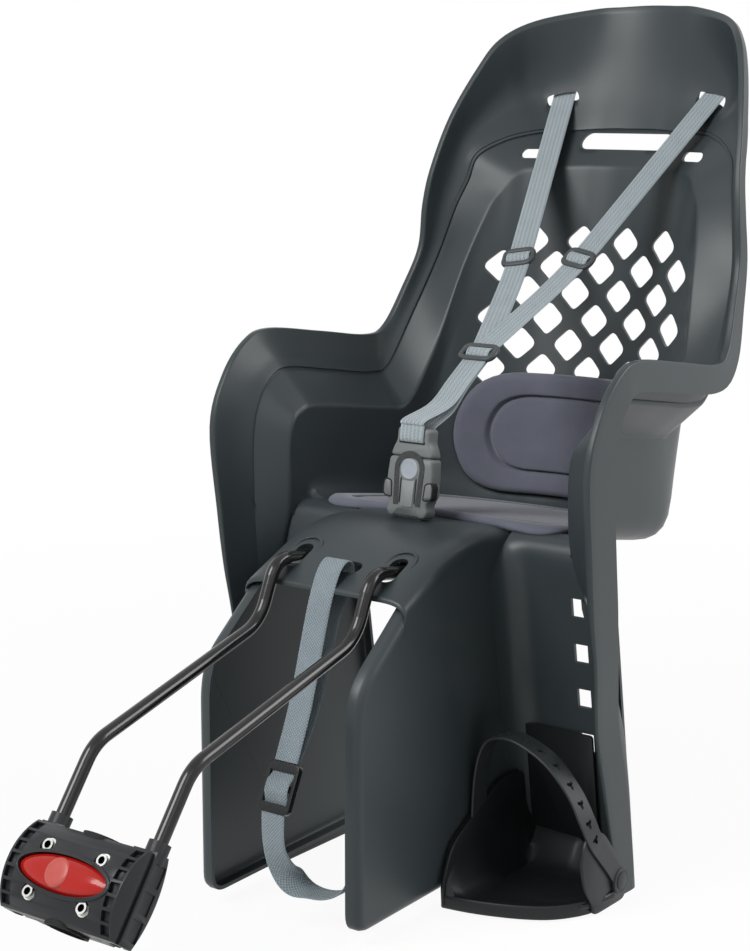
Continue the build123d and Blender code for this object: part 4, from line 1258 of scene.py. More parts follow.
@dataclass
class Studio:
    """Floor, light and the camera at the photograph's place."""

    eye: tuple = (1.0841, -1.0916, 0.6059)
    azimuth: float = 36.5
    elevation: float = 10.6
    focal_pixels: float = 2090.0
    frame_height: float = 951.0
    sensor: float = 36.0
    floor_level: float = -0.1135
    floor_glow: float = 0.93
    floor_clear: float = 1.6
    world_light: float = 0.13

    def build(self) -> None:
        """Place the camera, the floor, three soft lamps and the pale world."""
        scene = bpy.context.scene
        scene.view_settings.view_transform = "Standard"
        view = bpy.data.cameras.new("view")
        view.sensor_width = self.sensor
        view.lens = self.focal_pixels / self.frame_height * self.sensor
        view.clip_end = 50
        camera = bpy.data.objects.new("camera", view)
        camera.location = self.eye
        turn, lift = radians(self.azimuth), radians(self.elevation)
        ahead = Vector((-sin(turn) * cos(lift), cos(turn) * cos(lift), -sin(lift)))
        camera.rotation_euler = ahead.to_track_quat("-Z", "Y").to_euler()
        scene.collection.objects.link(camera)
        scene.camera = camera
        self.floor()
        self.lamp("key", (-0.5, -1.5, 2.0), (0, 0.5, 0.3), 58.0, 1.3)
        self.lamp("fill", (1.6, -1.0, 1.9), (0, 0.4, 0.25), 6.0, 1.4)
        self.lamp("rim", (1.6, 1.5, 1.3), (0, 0.6, 0.35), 30.0, 1.2)
        self.world()

    def lamp(self, name: str, place: tuple, target: tuple, power: float, size: float) -> None:
        """Add a square soft lamp that looks at a target."""
        light = bpy.data.lights.new(name, "AREA")
        light.energy = power
        light.size = size
        lamp = bpy.data.objects.new(name, light)
        lamp.location = place
        lamp.rotation_euler = (Vector(target) - Vector(place)).to_track_quat("-Z", "Y").to_euler()
        bpy.context.scene.collection.objects.link(lamp)

    def floor(self) -> None:
        """Add the pale floor as one wide sheet: near white to the camera, with the object's shadow kept."""
        reach = np.array([-6.0, 6.0])
        x, y = np.meshgrid(reach, reach)
        grid = np.stack([x, y, np.full_like(x, self.floor_level)], -1)
        sheet = new_object("studio_floor", grid, [[0, 1, 3, 2]], smooth=False)
        paint = Paint("floor_paper")
        grain = paint.noise(40.0)
        paint.set(Base_Color=paint.blend(grain, (0.9, 0.9, 0.9), (0.92, 0.92, 0.92)), Roughness=0.9)
        glow = paint.node("Emission", inputs={"Color": (1, 1, 1, 1), "Strength": 1.0})
        across, depth, _ = paint.place()
        away = (across * across + (depth - 0.4) * (depth - 0.4)) * (1 / self.floor_clear**2)
        reach = away.lowest(1.0) * (1 - self.floor_glow) + self.floor_glow
        share = seen_directly(paint.tree) * reach
        mix = paint.node("MixShader", inputs={"Fac": share})
        paint.join(paint.shader.outputs["BSDF"], mix.inputs[1])
        paint.join(glow.outputs["Emission"], mix.inputs[2])
        paint.join(mix.outputs["Shader"], paint.tree.nodes["Material Output"].inputs["Surface"])
        dress(sheet, paint.material)

    def world(self) -> None:
        """Light evenly from all round, and show white to the camera and in reflections."""
        world = bpy.data.worlds.new("studio")
        world.use_nodes = True
        bpy.context.scene.world = world
        tree = world.node_tree
        background = tree.nodes["Background"]
        background.inputs["Color"].default_value = (1, 1, 1, 1)
        strength = seen_directly(tree) * (1 - self.world_light) + self.world_light
        tree.links.new(strength.socket, background.inputs["Strength"])


def seen_directly(tree: bpy.types.NodeTree) -> Value:
    """One for rays from the camera, a reflection or through glass, else nought."""
    path = tree.nodes.new("ShaderNodeLightPath")
    rays = [Value(tree, path.outputs[f"Is {kind} Ray"]) for kind in ("Camera", "Glossy", "Transmission")]
    return (rays[0] + rays[1] + rays[2]).above(0.5)


def nurbs_path(points: np.ndarray, steps: int = 12) -> np.ndarray:
    """Points read from a third-order curve that has the given control points.

    Args:
        points: control points in metres.
        steps: samples for each control point.

    Returns:
        The curve's points in order.
    """
    line = bpy.data.curves.new("route", "CURVE")
    line.dimensions = "3D"
    line.resolution_u = steps
    spline = line.splines.new("NURBS")
    spline.points.add(len(points) - 1)
    weighted = np.concatenate([points, np.ones((len(points), 1))], axis=1)
    spline.points.foreach_set("co", weighted.ravel())
    spline.order_u = 3
    spline.use_endpoint_u = True
    holder = bpy.data.objects.new("route", line)
    bpy.context.scene.collection.objects.link(holder)
    bpy.context.view_layer.update()
    mesh = bpy.data.meshes.new_from_object(holder.evaluated_get(bpy.context.evaluated_depsgraph_get()))
    flat = np.empty(len(mesh.vertices) * 3)
    mesh.vertices.foreach_get("co", flat)
    bpy.data.objects.remove(holder)
    bpy.data.meshes.remove(mesh)
    return flat.reshape(-1, 3)


def ring_frame(
    name: str, plane: FlatPlane, outline: np.ndarray, half: tuple[float, float], lift: float = 0.0
) -> bpy.types.Object:
    """Closed bar carried round an outline, with a rounded section.

    Args:
        name: the piece's name.
        plane: the plane of the outline.
        outline: middle line of the bar, counter-clockwise, in millimetres.
        half: half of the bar's width and of its thickness.
        lift: height of the bar's middle over the plane.

    Returns:
        The closed frame.
    """
    turn = full_turn(12)
    wide = np.sign(np.cos(turn)) * np.abs(np.cos(turn)) ** 0.7 * half[0]
    thick = np.sign(np.sin(turn)) * np.abs(np.sin(turn)) ** 0.7 * half[1]
    rings = [plane.place(inset_outline(outline, inset), lift + out) for inset, out in zip(wide, thick)]
    grid = np.stack(rings, axis=1)
    faces = grid_faces(*grid.shape[:2], wrap_rows=True, wrap_columns=True)
    piece = new_object(name, grid, faces.reshape(-1, 4).tolist())
    settle(piece)
    return piece


@dataclass
class ClampBlock:
    """Clamp block on the seat tube with its red release button. Sizes in millimetres."""

    bevel: float = 0.0008
    tilt: float = 37.0
    lens_half: tuple = (45.5, 14.4)
    lens_centre: float = -1.6
    lens_back: float = 24.0
    dome_radius: float = 52.7
    dome_centre: float = -19.5
    dome_fall: float = 4.2
    disc_radius: float = 12.0
    disc_place: tuple = (-4.0, -1.4)
    spring_run: tuple = (12.2, 22.0)
    spring_place: float = 38.0
    spring_turns: int = 6
    press: float = 3.0

    def face(self) -> FlatPlane:
        """The block's front plane."""
        turn = radians(self.tilt)
        return FlatPlane((0, 0, 0), (1, 0, 0), (0, sin(turn), cos(turn)))

    def lens(self) -> bpy.types.Object:
        """Red button: an ellipse whose dome follows the cover's curve and falls off towards its rim.

        Returns:
            The lens.
        """
        turn = full_turn(72)
        share = np.concatenate([[0.0], np.linspace(0.12, 0.9, 10), [0.955, 0.985, 1.0, 1.0]])
        flat = share[:, None, None] * np.stack([np.cos(turn), np.sin(turn)], -1) * self.lens_half
        flat = flat + [0, self.lens_centre]
        dome = self.dome_centre + np.sqrt(self.dome_radius**2 - flat[..., 1] ** 2)
        height = dome - self.dome_fall * share[:, None] ** 5
        height[-1] = self.lens_back
        points = self.face().place(flat, height)
        faces = grid_faces(*points.shape[:2], wrap_columns=True).reshape(-1, 4).tolist()
        last = (len(share) - 1) * len(turn)
        faces.append([last + n for n in range(len(turn))])
        piece = new_object("release_lens", points, faces)
        settle(piece)
        crease_shade(piece, 50.0)
        return piece

    def disc(self) -> bpy.types.Object:
        """Bare raised disc in the middle of the lens."""
        turn = full_turn(48)
        outline = np.stack([np.cos(turn), np.sin(turn)], -1) * self.disc_radius + self.disc_place
        steps = ((0, 28.0), (0, 31.6), (0.5, 32.8), (1.4, 33.5), (3.0, 33.9), (7.0, 34.1))
        return stepped_plate("release_disc", self.face(), outline, steps)

    def spring(self, across: float, name: str) -> bpy.types.Object:
        """Coil spring behind the button: a round wire carried along a helix.

        Args:
            across: place across the block.
            name: the piece's name.

        Returns:
            The coil.
        """
        low, high = self.spring_run
        turn = np.linspace(0, 1, 121)
        angle = 2 * np.pi * self.spring_turns * turn
        wire = 0.55
        middle = np.stack([across + 2.8 * np.cos(angle), self.lens_centre + 2.8 * np.sin(angle)], -1)
        height = low + wire + (high - low - 2 * wire) * turn
        sweep = full_turn(8)
        radial = np.stack([np.cos(angle), np.sin(angle)], -1)
        flat = middle[:, None] + radial[:, None] * (wire * np.cos(sweep))[None, :, None]
        lift = height[:, None] + wire * np.sin(sweep)[None]
        grid = self.face().place(flat, lift)
        rows, columns = grid.shape[:2]
        faces = grid_faces(rows, columns, wrap_columns=True).reshape(-1, 4).tolist()
        faces += [list(range(columns))[::-1], [(rows - 1) * columns + n for n in range(columns)]]
        piece = new_object(name, grid, faces)
        settle(piece)
        return piece

    def rim(self) -> bpy.types.Object:
        """Black rim that stands round the lens.

        Returns:
            The rim.
        """
        turn = full_turn(96)
        wide, tall = self.lens_half[0] + 2.2, self.lens_half[1] + 2.2
        outline = np.stack([np.cos(turn) * wide, np.sin(turn) * tall + self.lens_centre], -1)
        plane = self.face()
        sweep = full_turn(10)
        fall = self.dome_centre + np.sqrt(self.dome_radius**2 - outline[:, 1] ** 2) - 2.4
        rings = [
            plane.place(inset_outline(outline, 1.6 * cos(angle)), fall + 1.6 * sin(angle)) for angle in sweep
        ]
        grid = np.stack(rings, axis=1)
        faces = grid_faces(*grid.shape[:2], wrap_rows=True, wrap_columns=True)
        piece = new_object("lens_rim", grid, faces.reshape(-1, 4).tolist())
        settle(piece)
        return piece

    def build(self) -> None:
        """Round the block's solids, make the lens and dress every piece."""
        plastic = BLOCK.material()
        for node in ("block_front_cover", "block_rear_jaw"):
            piece = solid_copy(node, self.bevel)
            fit(piece, plastic, "clamp", "block", node)
        rim = self.rim()
        fit(rim, plastic, "clamp", "block")
        lens = self.lens()
        dress(lens, LENS.material())
        disc = self.disc()
        dress(disc, LENS_DISC.material())
        for piece in (lens, disc):
            seat(piece, "release", "lens", "release_button")
        dress_node("tube_liner", LINER_AND_SLOT_SHADE.material())
        steel = STEEL.material()
        dress_node("clamp_bolts", BOLT.material())
        for node in ("clamp_washers", "clamp_nuts", "bow_clamp_screws", "bow_clamp_nuts"):
            dress_node(node, steel)
        plane = self.face()
        anchor, top = plane.place(np.zeros((2, 2)), np.array(self.spring_run))
        for side, name in ((1, "right"), (-1, "left")):
            coil = self.spring(side * self.spring_place, f"button_coil_{name}")
            fit(coil, steel, "clamp", "spring", "button_springs")
            tuple(unit(top - anchor))
            tuple(anchor)
            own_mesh(coil)
        bracket = BRACKET.material()
        dress_node("latch_bar", bracket)
        dress_node("bow_clamp_plate", bracket)
        dress_node("bow_saddle", plastic)
        dress_node("bow", ROD.material())


@dataclass
class FootRests:
    """Foot cups, their bands and pins. Sizes in millimetres."""

    wall: float = 3.5
    inner: float = 91.5
    outer: float = 208.5
    bottom: float = -112.0
    floor: float = -104.0
    lip: float = -98.0
    back: float = 497.0
    lean: float = 0.157
    tray_wall: float = 2.4
    front: tuple = (
        (91.5, 348), (115, 351.5), (140, 358.5), (165, 369), (185, 383), (200, 405), (207, 428),
        (208.5, 444),
    )
    wall_rise: tuple = ((346, 14), (352, 34), (361, 49), (390, 66), (423, 81), (446, 88), (498, 90))
    band_thickness: float = 2.5
    hole_count: int = 8
    hole_radius: float = 2.7
    eye: tuple = (456.0, -91.0)
    eye_radius: float = 12.0
    route: tuple = (
        (93.2, 403.5, -60), (93.2, 403.5, -38), (96.5, 403.5, 4), (106, 403.5, 32), (124, 403.5, 40.5),
        (146, 403.5, 37), (171, 403.5, 24), (193, 403.5, 1), (206, 404, -22), (209.6, 410, -38),
        (209.8, 421, -52), (209.8, 433, -65), (209.8, 445, -78), (209.8, 456, -91),
    )
    turns: tuple = ((0, 1, 0),) * 8 + ((0, 0.98, 0.2), (0, 0.9, 0.44), (0, 0.8, 0.6)) + ((0, 0.75, 0.66),) * 3
    widths: tuple = (20, 22, 23, 24, 24, 24, 24, 23, 22, 20, 18, 17, 17, 18)

    def band(self, side: int, name: str) -> bpy.types.Object:
        """Foot band: a flat rounded bar along its route, its width turning from level to along the ear.

        Args:
            side: 1 for the right, -1 for the left.
            name: the piece's name.

        Returns:
            The band with its holes.
        """
        path = smooth_rail(np.array(self.route, dtype=float), 8) * [side, 1, 1]
        heading = unit(np.gradient(path, axis=0))
        across = smooth_rail(np.array(self.turns, dtype=float), 8)
        across = unit(across - heading * np.sum(across * heading, axis=1, keepdims=True))
        width = smooth_rail(np.array(self.widths, dtype=float)[:, None], 8)[:, 0]
        piece = strap_ribbon(name, path * MM, across, width * MM, self.band_thickness * MM)
        cut_away(piece, self.holes(path, heading, across))
        crease_shade(piece, 40.0)
        return piece

    def holes(self, path: np.ndarray, heading: np.ndarray, across: np.ndarray) -> bpy.types.Object:
        """Three-lobed prisms through the band at even steps.

        Args:
            path: points along the band.
            heading: direction along it.
            across: direction across it.

        Returns:
            The cutting body.
        """
        turn = full_turn(36)
        lobe = self.hole_radius * (1.25 + 0.5 * np.cos(3 * turn))
        outline = np.stack([np.cos(turn) * lobe, np.sin(turn) * lobe], -1)
        length = np.concatenate([[0], np.cumsum(np.linalg.norm(np.diff(path, axis=0), axis=1))])
        spots = np.linspace(0.36, 0.78, self.hole_count) * length[-1]
        points, faces = [], []
        for index in np.searchsorted(length, spots):
            face = unit(np.cross(heading[index], across[index]))
            flat = path[index] + outline[:, :1] * heading[index] + outline[:, 1:] * across[index]
            first = sum(len(part) for part in points)
            count = len(outline)
            faces += (grid_faces(2, count, wrap_columns=True).reshape(-1, 4) + first).tolist()
            faces += [[first + n for n in range(count)][::-1], [first + count + n for n in range(count)]]
            points.append(np.concatenate([flat - 6 * face, flat + 6 * face]))
        cutter = new_object("band_cutter", np.concatenate(points) * MM, faces)
        settle(cutter)
        return cutter

    def eye_plate(self, side: int, name: str) -> bpy.types.Object:
        """Round eye at the band's end with a dished middle."""
        turn = full_turn(40)
        outline = np.stack([np.cos(turn), np.sin(turn)], -1) * self.eye_radius
        plane = FlatPlane((side * 209.2, *self.eye), (0, side, 0), (0, 0, 1))
        steps = ((0, 0), (0, 2.0), (0.7, 2.9), (4.0, 3.1), (5.0, 2.6), (6.0, 1.9), (9.0, 1.6))
        return stepped_plate(name, plane, outline, steps)

    def tray(self, side: int, name: str) -> bpy.types.Object:
        """Tray: a floor with a round front lip, swept up to the inner wall and the heel.

        Rows run from the lip's foot over its top to the heel. The floor's height adds a cubic rise towards
        the inner wall, a square rise at the heel, and a low oval platform.

        Args:
            side: 1 for the right, -1 for the left.
            name: the piece's name.

        Returns:
            The tray.
        """
        share = np.concatenate([[0, 0.04, 0.09, 0.15], np.linspace(0.2, 1, 34)])
        x = np.sort(np.append(self.inner + (self.outer - self.inner) * share, [197.6, 198.6]))
        edge = np.array(self.front, dtype=float)
        smooth = smooth_rail(edge, 10)
        front = np.interp(x, smooth[:, 0], smooth[:, 1])
        v = np.concatenate([np.linspace(0, 0.1, 6), np.linspace(0.13, 1, 30)])[:, None]
        back = np.where(x > 198, 440.0, self.back)
        y = front + (back - front) * v
        rim = (self.lip - self.floor) * np.clip(1 - v / 0.08, 0, 1) ** 2
        rise = np.interp(y, *np.array(self.wall_rise, dtype=float).T)
        inner = rise * np.clip(1 - (x - self.inner) / 24, 0, 1) ** 3
        heel = 46 * np.clip((v - 0.62) / 0.38, 0, 1) ** 2.5 * np.clip((178 - x) / 30, 0, 1)
        oval = ((x - 150) / 38) ** 2 + ((y - 432) / 34) ** 2
        platform = 1.6 / (1 + np.exp((oval - 1) * 14))
        z = self.floor + np.maximum(np.maximum(rim, inner), heel) + platform
        y = np.minimum(y, self.back - 1.2 - (z - self.bottom) * self.lean)
        bottom, lip = self.bottom, self.lip
        face = ((2.2, bottom + 1), (0.2, bottom + 3), (0, lip - 3))
        fall = np.array([*face, (0.4, lip - 0.9), (1.4, lip - 0.1)])
        skirt_y = front + fall[:, :1] * 0.9
        skirt_z = np.broadcast_to(fall[:, 1:], skirt_y.shape)
        y = np.concatenate([skirt_y, y + 2.4 * np.clip(1 - v * 1.3, 0, 1)])
        z = np.concatenate([skirt_z, z])
        grid = np.stack([np.broadcast_to(side * x, y.shape), y, z], -1)
        piece = new_object(name, grid * MM, grid_faces(*grid.shape[:2]).reshape(-1, 4).tolist())
        face_towards(piece, Vector((0, 0, 1)))
        thicken(piece, self.tray_wall * MM)
        apply_modifiers(piece)
        crease_shade(piece, 50.0)
        return piece

    def plates(self, side: int, name: str) -> list[bpy.types.Object]:
        """Inner wall, ear and back plate, each with round corners and edges.

        Args:
            side: 1 for the right, -1 for the left.
            name: the piece's name.

        Returns:
            The three plates.
        """
        wall = self.wall
        edge = ((1.1, 0), (0.3, 0.3), (0, 1.1), (0, wall - 1.1), (0.3, wall - 0.3), (1.1, wall))
        inside = [(348, -112), (497, -112), (482, -17), (446, -15), (423, -23), (361, -55), (346, -88)]
        ear = [(416, -112), (472, -112), (468, -82), (427, -36)]
        ear += [(402, -34), (392, -54), (399, -84), (413, -101)]
        rear = [(0, 0), (77.5, 0), (77.5, 144), (0, 144)]
        made = []
        for label, corners, origin, radius in (
            ("wall", inside, side * (self.inner + wall / 2) - wall / 2, 16),
            ("ear", ear, side * (self.outer - wall / 2) - wall / 2, 12),
        ):
            outline = closed_curve(corners, radius, 8, 4)
            plane = FlatPlane((origin, 0, 0), (0, 1, 0), (0, 0, 1))
            made.append(stepped_plate(f"{label}_{name}", plane, outline, edge))
        plane = FlatPlane((side * self.inner, 498, self.bottom), (side, 0, 0), (0, -0.155, 0.988))
        outline = closed_curve(rear, 4, 6, 4)
        steps = [(inset, side * height) for inset, height in edge]
        made.append(stepped_plate(f"heel_{name}", plane, outline, steps))
        return made

    def build(self) -> None:
        """Make the cups and bands and dress every piece."""
        plastic = FOOT.material()
        band = BAND.material()
        for side, name in ((1, "right"), (-1, "left")):
            body = f"rest_{name}"
            for piece in (self.tray(side, f"foot_tray_{name}"), *self.plates(side, f"foot_{name}")):
                fit(piece, plastic, body, "foot", f"foot_rest_{name}")
            strap = self.band(side, f"foot_band_{name}")
            eye = self.eye_plate(side, f"foot_eye_{name}")
            for piece in (strap, eye):
                fit(piece, band, body, "foot_band", f"foot_strap_{name}")
            pin = solid_copy(f"foot_strap_pin_{name}", 0.0006)
            fit(pin, band, body, "foot", f"foot_strap_pin_{name}")


@dataclass
class Pads:
    """Seat pad on the pan and back pad in the tub. Sizes in millimetres."""

    seat_origin: tuple = (0.0, 470.0, 208.7)
    seat_up: tuple = (0.0, 0.988, -0.157)
    seat_half: float = 133.0
    seat_thickness: float = 10.5
    back_thickness: float = 14.0
    back_gap: float = 1.2
    tub_low: tuple = (150.0, 697.0)
    tub_lean: float = 35 / 150
    tub_radius: float = 195.0

    def heights(self, share: np.ndarray, thickness: float) -> np.ndarray:
        """Height of a pad's top over its base, from its edge (nought) to its middle (one).

        The edge rises as a quarter of an ellipse, the border is a low roll, a seam cuts down at 0.4,
        and the inner panel swells up to the full thickness.

        Args:
            share: way from the edge to the middle.
            thickness: the pad's thickness.

        Returns:
            Heights.
        """
        edge = np.sqrt(1 - (1 - np.clip(share / 0.12, 0, 1)) ** 2)
        roll = 0.86 + 0.08 * np.sin(np.pi * np.clip(share / 0.4, 0, 1))
        inner = 0.84 + 0.16 * np.sin(np.pi / 2 * np.clip((share - 0.4) / 0.4, 0, 1))
        top = np.where(share < 0.4, roll, inner)
        seam = 0.4 * np.exp(-(((share - 0.4) / 0.022) ** 2))
        return thickness * (0.42 + (top - seam - 0.42) * edge)

    def pad(
        self, name: str, outline: np.ndarray, seam: tuple[float, float], thickness: float, place: object
    ) -> bpy.types.Object:
        """Closed pad: rings shrink from the outline to the seam and on to the middle, over a flat base.

        Args:
            name: the piece's name.
            outline: the pad's flat outline, counter-clockwise.
            seam: share of the outline's width and height that the seam keeps.
            thickness: full height of the pad.
            place: turns flat places and heights into points in metres.

        Returns:
            The pad.
        """
        spans = ((0, 0.12, 7), (0.15, 0.34, 6), (0.355, 0.445, 13), (0.47, 1, 14))
        share = np.concatenate([np.linspace(*span) for span in spans])
        middle = (outline.max(axis=0) + outline.min(axis=0)) / 2
        to_seam = np.clip(share / 0.4, 0, 1)[:, None]
        inside = np.clip((share - 0.4) / 0.6, 0, 1)[:, None]
        scale = (1 - to_seam * (1 - np.array(seam))) * (1 - 0.998 * inside)
        flat = middle + (outline - middle)[None] * scale[:, None, :]
        top = place(flat, np.repeat(self.heights(share, thickness)[:, None], len(outline), axis=1))
        base_share = np.array([0.985, 0.955, 0.9, 0.002])
        under = middle + (outline - middle)[None] * base_share[:, None, None]
        low = np.array([0.2, 0.04, 0.0, 0.0]) * thickness
        base = place(under, np.repeat(low[:, None], len(outline), axis=1))
        rings = np.concatenate([top[::-1], base])
        faces = grid_faces(*rings.shape[:2], wrap_columns=True).reshape(-1, 4).tolist()
        count, last = len(outline), len(rings) - 1
        faces += [list(range(count))[::-1], [last * count + n for n in range(count)]]
        piece = new_object(name, rings, faces)
        settle(piece)
        return piece

    def seat_pad(self) -> bpy.types.Object:
        """Seat pad: flat plan with a round rear edge, its front edge drooping at the sides.

        Returns:
            The pad.
        """
        turn = np.linspace(0, 1, 15)
        arc = np.stack([self.seat_half * np.cos(np.pi * turn), 160 + 62 * np.sin(np.pi * turn)], -1)
        half = self.seat_half
        outline = closed_curve([(-half, -8), (half, -8), *map(tuple, arc)], 26, 6, 3)
        plane = FlatPlane(self.seat_origin, (1, 0, 0), self.seat_up)

        def place(flat: np.ndarray, height: np.ndarray) -> np.ndarray:
            """Lay the pad on the pan."""
            side = np.clip((np.abs(flat[..., 0]) - 80) / 30, 0, 1)
            droop = 4.0 * side * np.clip((14 - flat[..., 1]) / 22, 0, 1) ** 2
            return plane.place(flat, height + 0.5 - droop)

        return self.pad("seat_cushion", outline, (0.86, 0.86), self.seat_thickness, place)

    def back_pad(self) -> bpy.types.Object:
        """Back pad: a wide rounded shape laid round the tub's leaning back, with a sewn inner panel.

        Returns:
            The pad.
        """
        corners = [(-104, 314), (-126, 256), (-100, 193), (100, 193), (126, 256), (104, 314)]
        outline = closed_curve(corners, 40, 8, 6)
        if outline_area(outline) < 0:
            outline = outline[::-1]

        def place(flat: np.ndarray, height: np.ndarray) -> np.ndarray:
            """Lay the pad against the back."""
            centre = self.tub_low[1] + (flat[..., 1] - self.tub_low[0]) * self.tub_lean
            depth = centre - self.tub_radius + np.sqrt(self.tub_radius**2 - flat[..., 0] ** 2)
            return MM * np.stack([flat[..., 0], depth - self.back_gap - height, flat[..., 1]], -1)

        return self.pad("back_cushion", outline, (0.73, 0.62), self.back_thickness, place)

    def build(self) -> None:
        """Make both pads and dress them."""
        for piece, node, cloth in (
            (self.seat_pad(), "seat_pad", SEAT_CLOTH),
            (self.back_pad(), "back_pad", PAD_CLOTH),
        ):
            fit(piece, cloth.material(), "seat", "pad", node)


@dataclass
class Harness:
    """Shoulder straps with their sliders and the doubled lower strap. Sizes in millimetres."""

    slot: tuple = (88.0, 827.0, 593.0)
    kink: tuple = (31.4, 649.6, 426.3)
    junction: tuple = (0.0, 540.0, 356.0)
    anchor_reach: float = 20.0
    slider_rise: float = 16.0
    stack: float = 1.2
    width: float = 26.0
    thickness: float = 1.6
    slider_size: tuple = (30.0, 18.0)
    junction_size: tuple = (35.0, 18.0)
    lower_up: tuple = (0.0, 0.8418, 0.5398)
    crotch_run: tuple = (-20.0, 13.0)
    buckle_foot: tuple = (0.0, 427.0, 215.0)
    buckle_up: tuple = (0.0, 0.154, 0.988)
    buckle_front: tuple = (0.0, -0.988, 0.154)

    def shoulder_path(self, side: int) -> np.ndarray:
        """Centre line of a shoulder strap from behind its slot to the junction, rounded at the kink."""
        mirror = np.array([side, 1, 1])
        slot, kink, junction = (np.array(point) * mirror for point in (self.slot, self.kink, self.junction))
        run = unit(slot - kink)
        level = unit(run * [0, 1, 1])
        lift = np.array([0, -level[2], level[1]]) * self.stack * side
        corners = np.stack([slot + run * self.anchor_reach, kink, junction])[None] + lift
        return rounded_section(corners, [45.0], 12, (30, 16))[0]

    def slider(
        self, name: str, plane: FlatPlane, size: tuple, body: str, node: str,
        fitting: bpy.types.Material, cloth: bpy.types.Material,
    ) -> None:
        """Strap slider: a rounded frame with the strap humped over its middle bar.

        Args:
            name: start of the pieces' names.
            plane: the slider's plane.
            size: width and height.
            body: the body that it rides on.
            node: the solid that it replaces.
            fitting: the frame's finish.
            cloth: the strap's finish.
        """
        wide, tall = size[0] / 2, size[1] / 2
        outline = closed_curve([(-wide, -tall), (wide, -tall), (wide, tall), (-wide, tall)], 8, 6, 4)
        ring = ring_frame(f"{name}_frame", plane, outline, (2.9, 2.6), 2.0)
        fit(ring, fitting, body, "fitting", node)
        turn = np.linspace(-1, 1, 25)
        along = np.stack([np.zeros(25), turn * (tall - 3.2)], -1)
        path = plane.place(along, 1.0 + 4.2 * np.sqrt(np.maximum(0, 1 - turn**2)))
        across = np.tile(unit(np.array(plane.right, dtype=float)), (25, 1))
        hump = strap_ribbon(f"{name}_hump", path, across, (self.width - 1) * MM, self.thickness * MM)
        fit(hump, cloth, body, "webbing", node)

    def lower_path(self) -> np.ndarray:
        """Doubled lower strap: to the tongue, over its top bar, through its slot and back with slack.

        Returns:
            Points along the strap, in millimetres.
        """
        up = unit(np.array(self.lower_up))
        out = np.array([0, -up[2], up[1]])
        junction = np.array(self.junction)
        foot, rise, front = (np.array(part) for part in (self.buckle_foot, self.buckle_up, self.buckle_front))
        down = [junction - reach * up + 1.2 * out for reach in (8, 40, 76)]
        bar = ((92, 7.5), (86.5, 9.4), (80, 9.7), (75, 9.4), (72.2, 7.5), (71.4, 4))
        over = [foot + h * rise + f * front for h, f in bar]
        under = [foot + h * rise + f * front for h, f in ((71.4, -4), (73, -8.6), (79, -9.6), (86, -8.6))]
        back = [junction - reach * up - sag * out for reach, sag in ((78, 5), (46, 1.6), (8, 1.2))]
        return smooth_rail(np.array([*down, *over, *under, *back]), 8)

    def build(self) -> None:
        """Make the straps, sliders and the lower strap, and dress them."""
        cloth = SHOULDER_CLOTH.material()
        fitting = FITTING.material()
        level = np.array([1.0, 0, 0])
        for side, name in ((1, "right"), (-1, "left")):
            path = self.shoulder_path(side) * MM
            rows = np.tile(level, (len(path), 1))
            strap = strap_ribbon(f"shoulder_web_{name}", path, rows, self.width * MM, self.thickness * MM)
            fit(strap, cloth, "seat", "webbing", f"shoulder_strap_{name}")
            mirror = np.array([side, 1, 1])
            run = unit((np.array(self.slot) - np.array(self.kink)) * mirror)
            across = unit(level - run * run[0])
            lift = unit(run * [0, 1, 1])
            normal = np.array([0, -lift[2], lift[1]])
            spot = np.array(self.kink) * mirror + run * self.slider_rise + normal * self.stack * side
            plane = FlatPlane(tuple(spot), tuple(across), tuple(run))
            self.slider(
                f"shoulder_slide_{name}", plane, self.slider_size, f"slider_{name}",
                f"shoulder_slider_{name}", fitting, cloth,
            )
            anchor = solid_copy(f"strap_anchor_{name}", 0.001)
            fit(anchor, fitting, "seat", "fitting", f"strap_anchor_{name}")
        plane = FlatPlane(self.junction, (1, 0, 0), self.lower_up)
        self.slider(
            "junction_slide", plane, self.junction_size, "junction", "junction_slider", fitting, cloth
        )
        path = self.lower_path() * MM
        rows = np.tile(level, (len(path), 1))
        lower = strap_ribbon("lower_web", path, rows, self.width * MM, self.thickness * MM)
        dress(lower, cloth)
        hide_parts("lower_strap")
        start = np.array(self.junction) - 18 * np.array(self.lower_up)
        end = np.array(self.junction) - 96 * np.array(self.lower_up)
        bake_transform(lower)
        log.info("%s bends from seat to tongue", lower.name)
        rise = np.linspace(*self.crotch_run, 12)[:, None] * np.array(self.buckle_up)
        path = (np.array(self.buckle_foot) + rise) * MM
        crotch = strap_ribbon("crotch_web", path, np.tile(level, (12, 1)), self.width * MM, 2.4 * MM)
        fit(crotch, cloth, "seat", "webbing", "crotch_strap")
        dress_node("crotch_anchor", fitting)


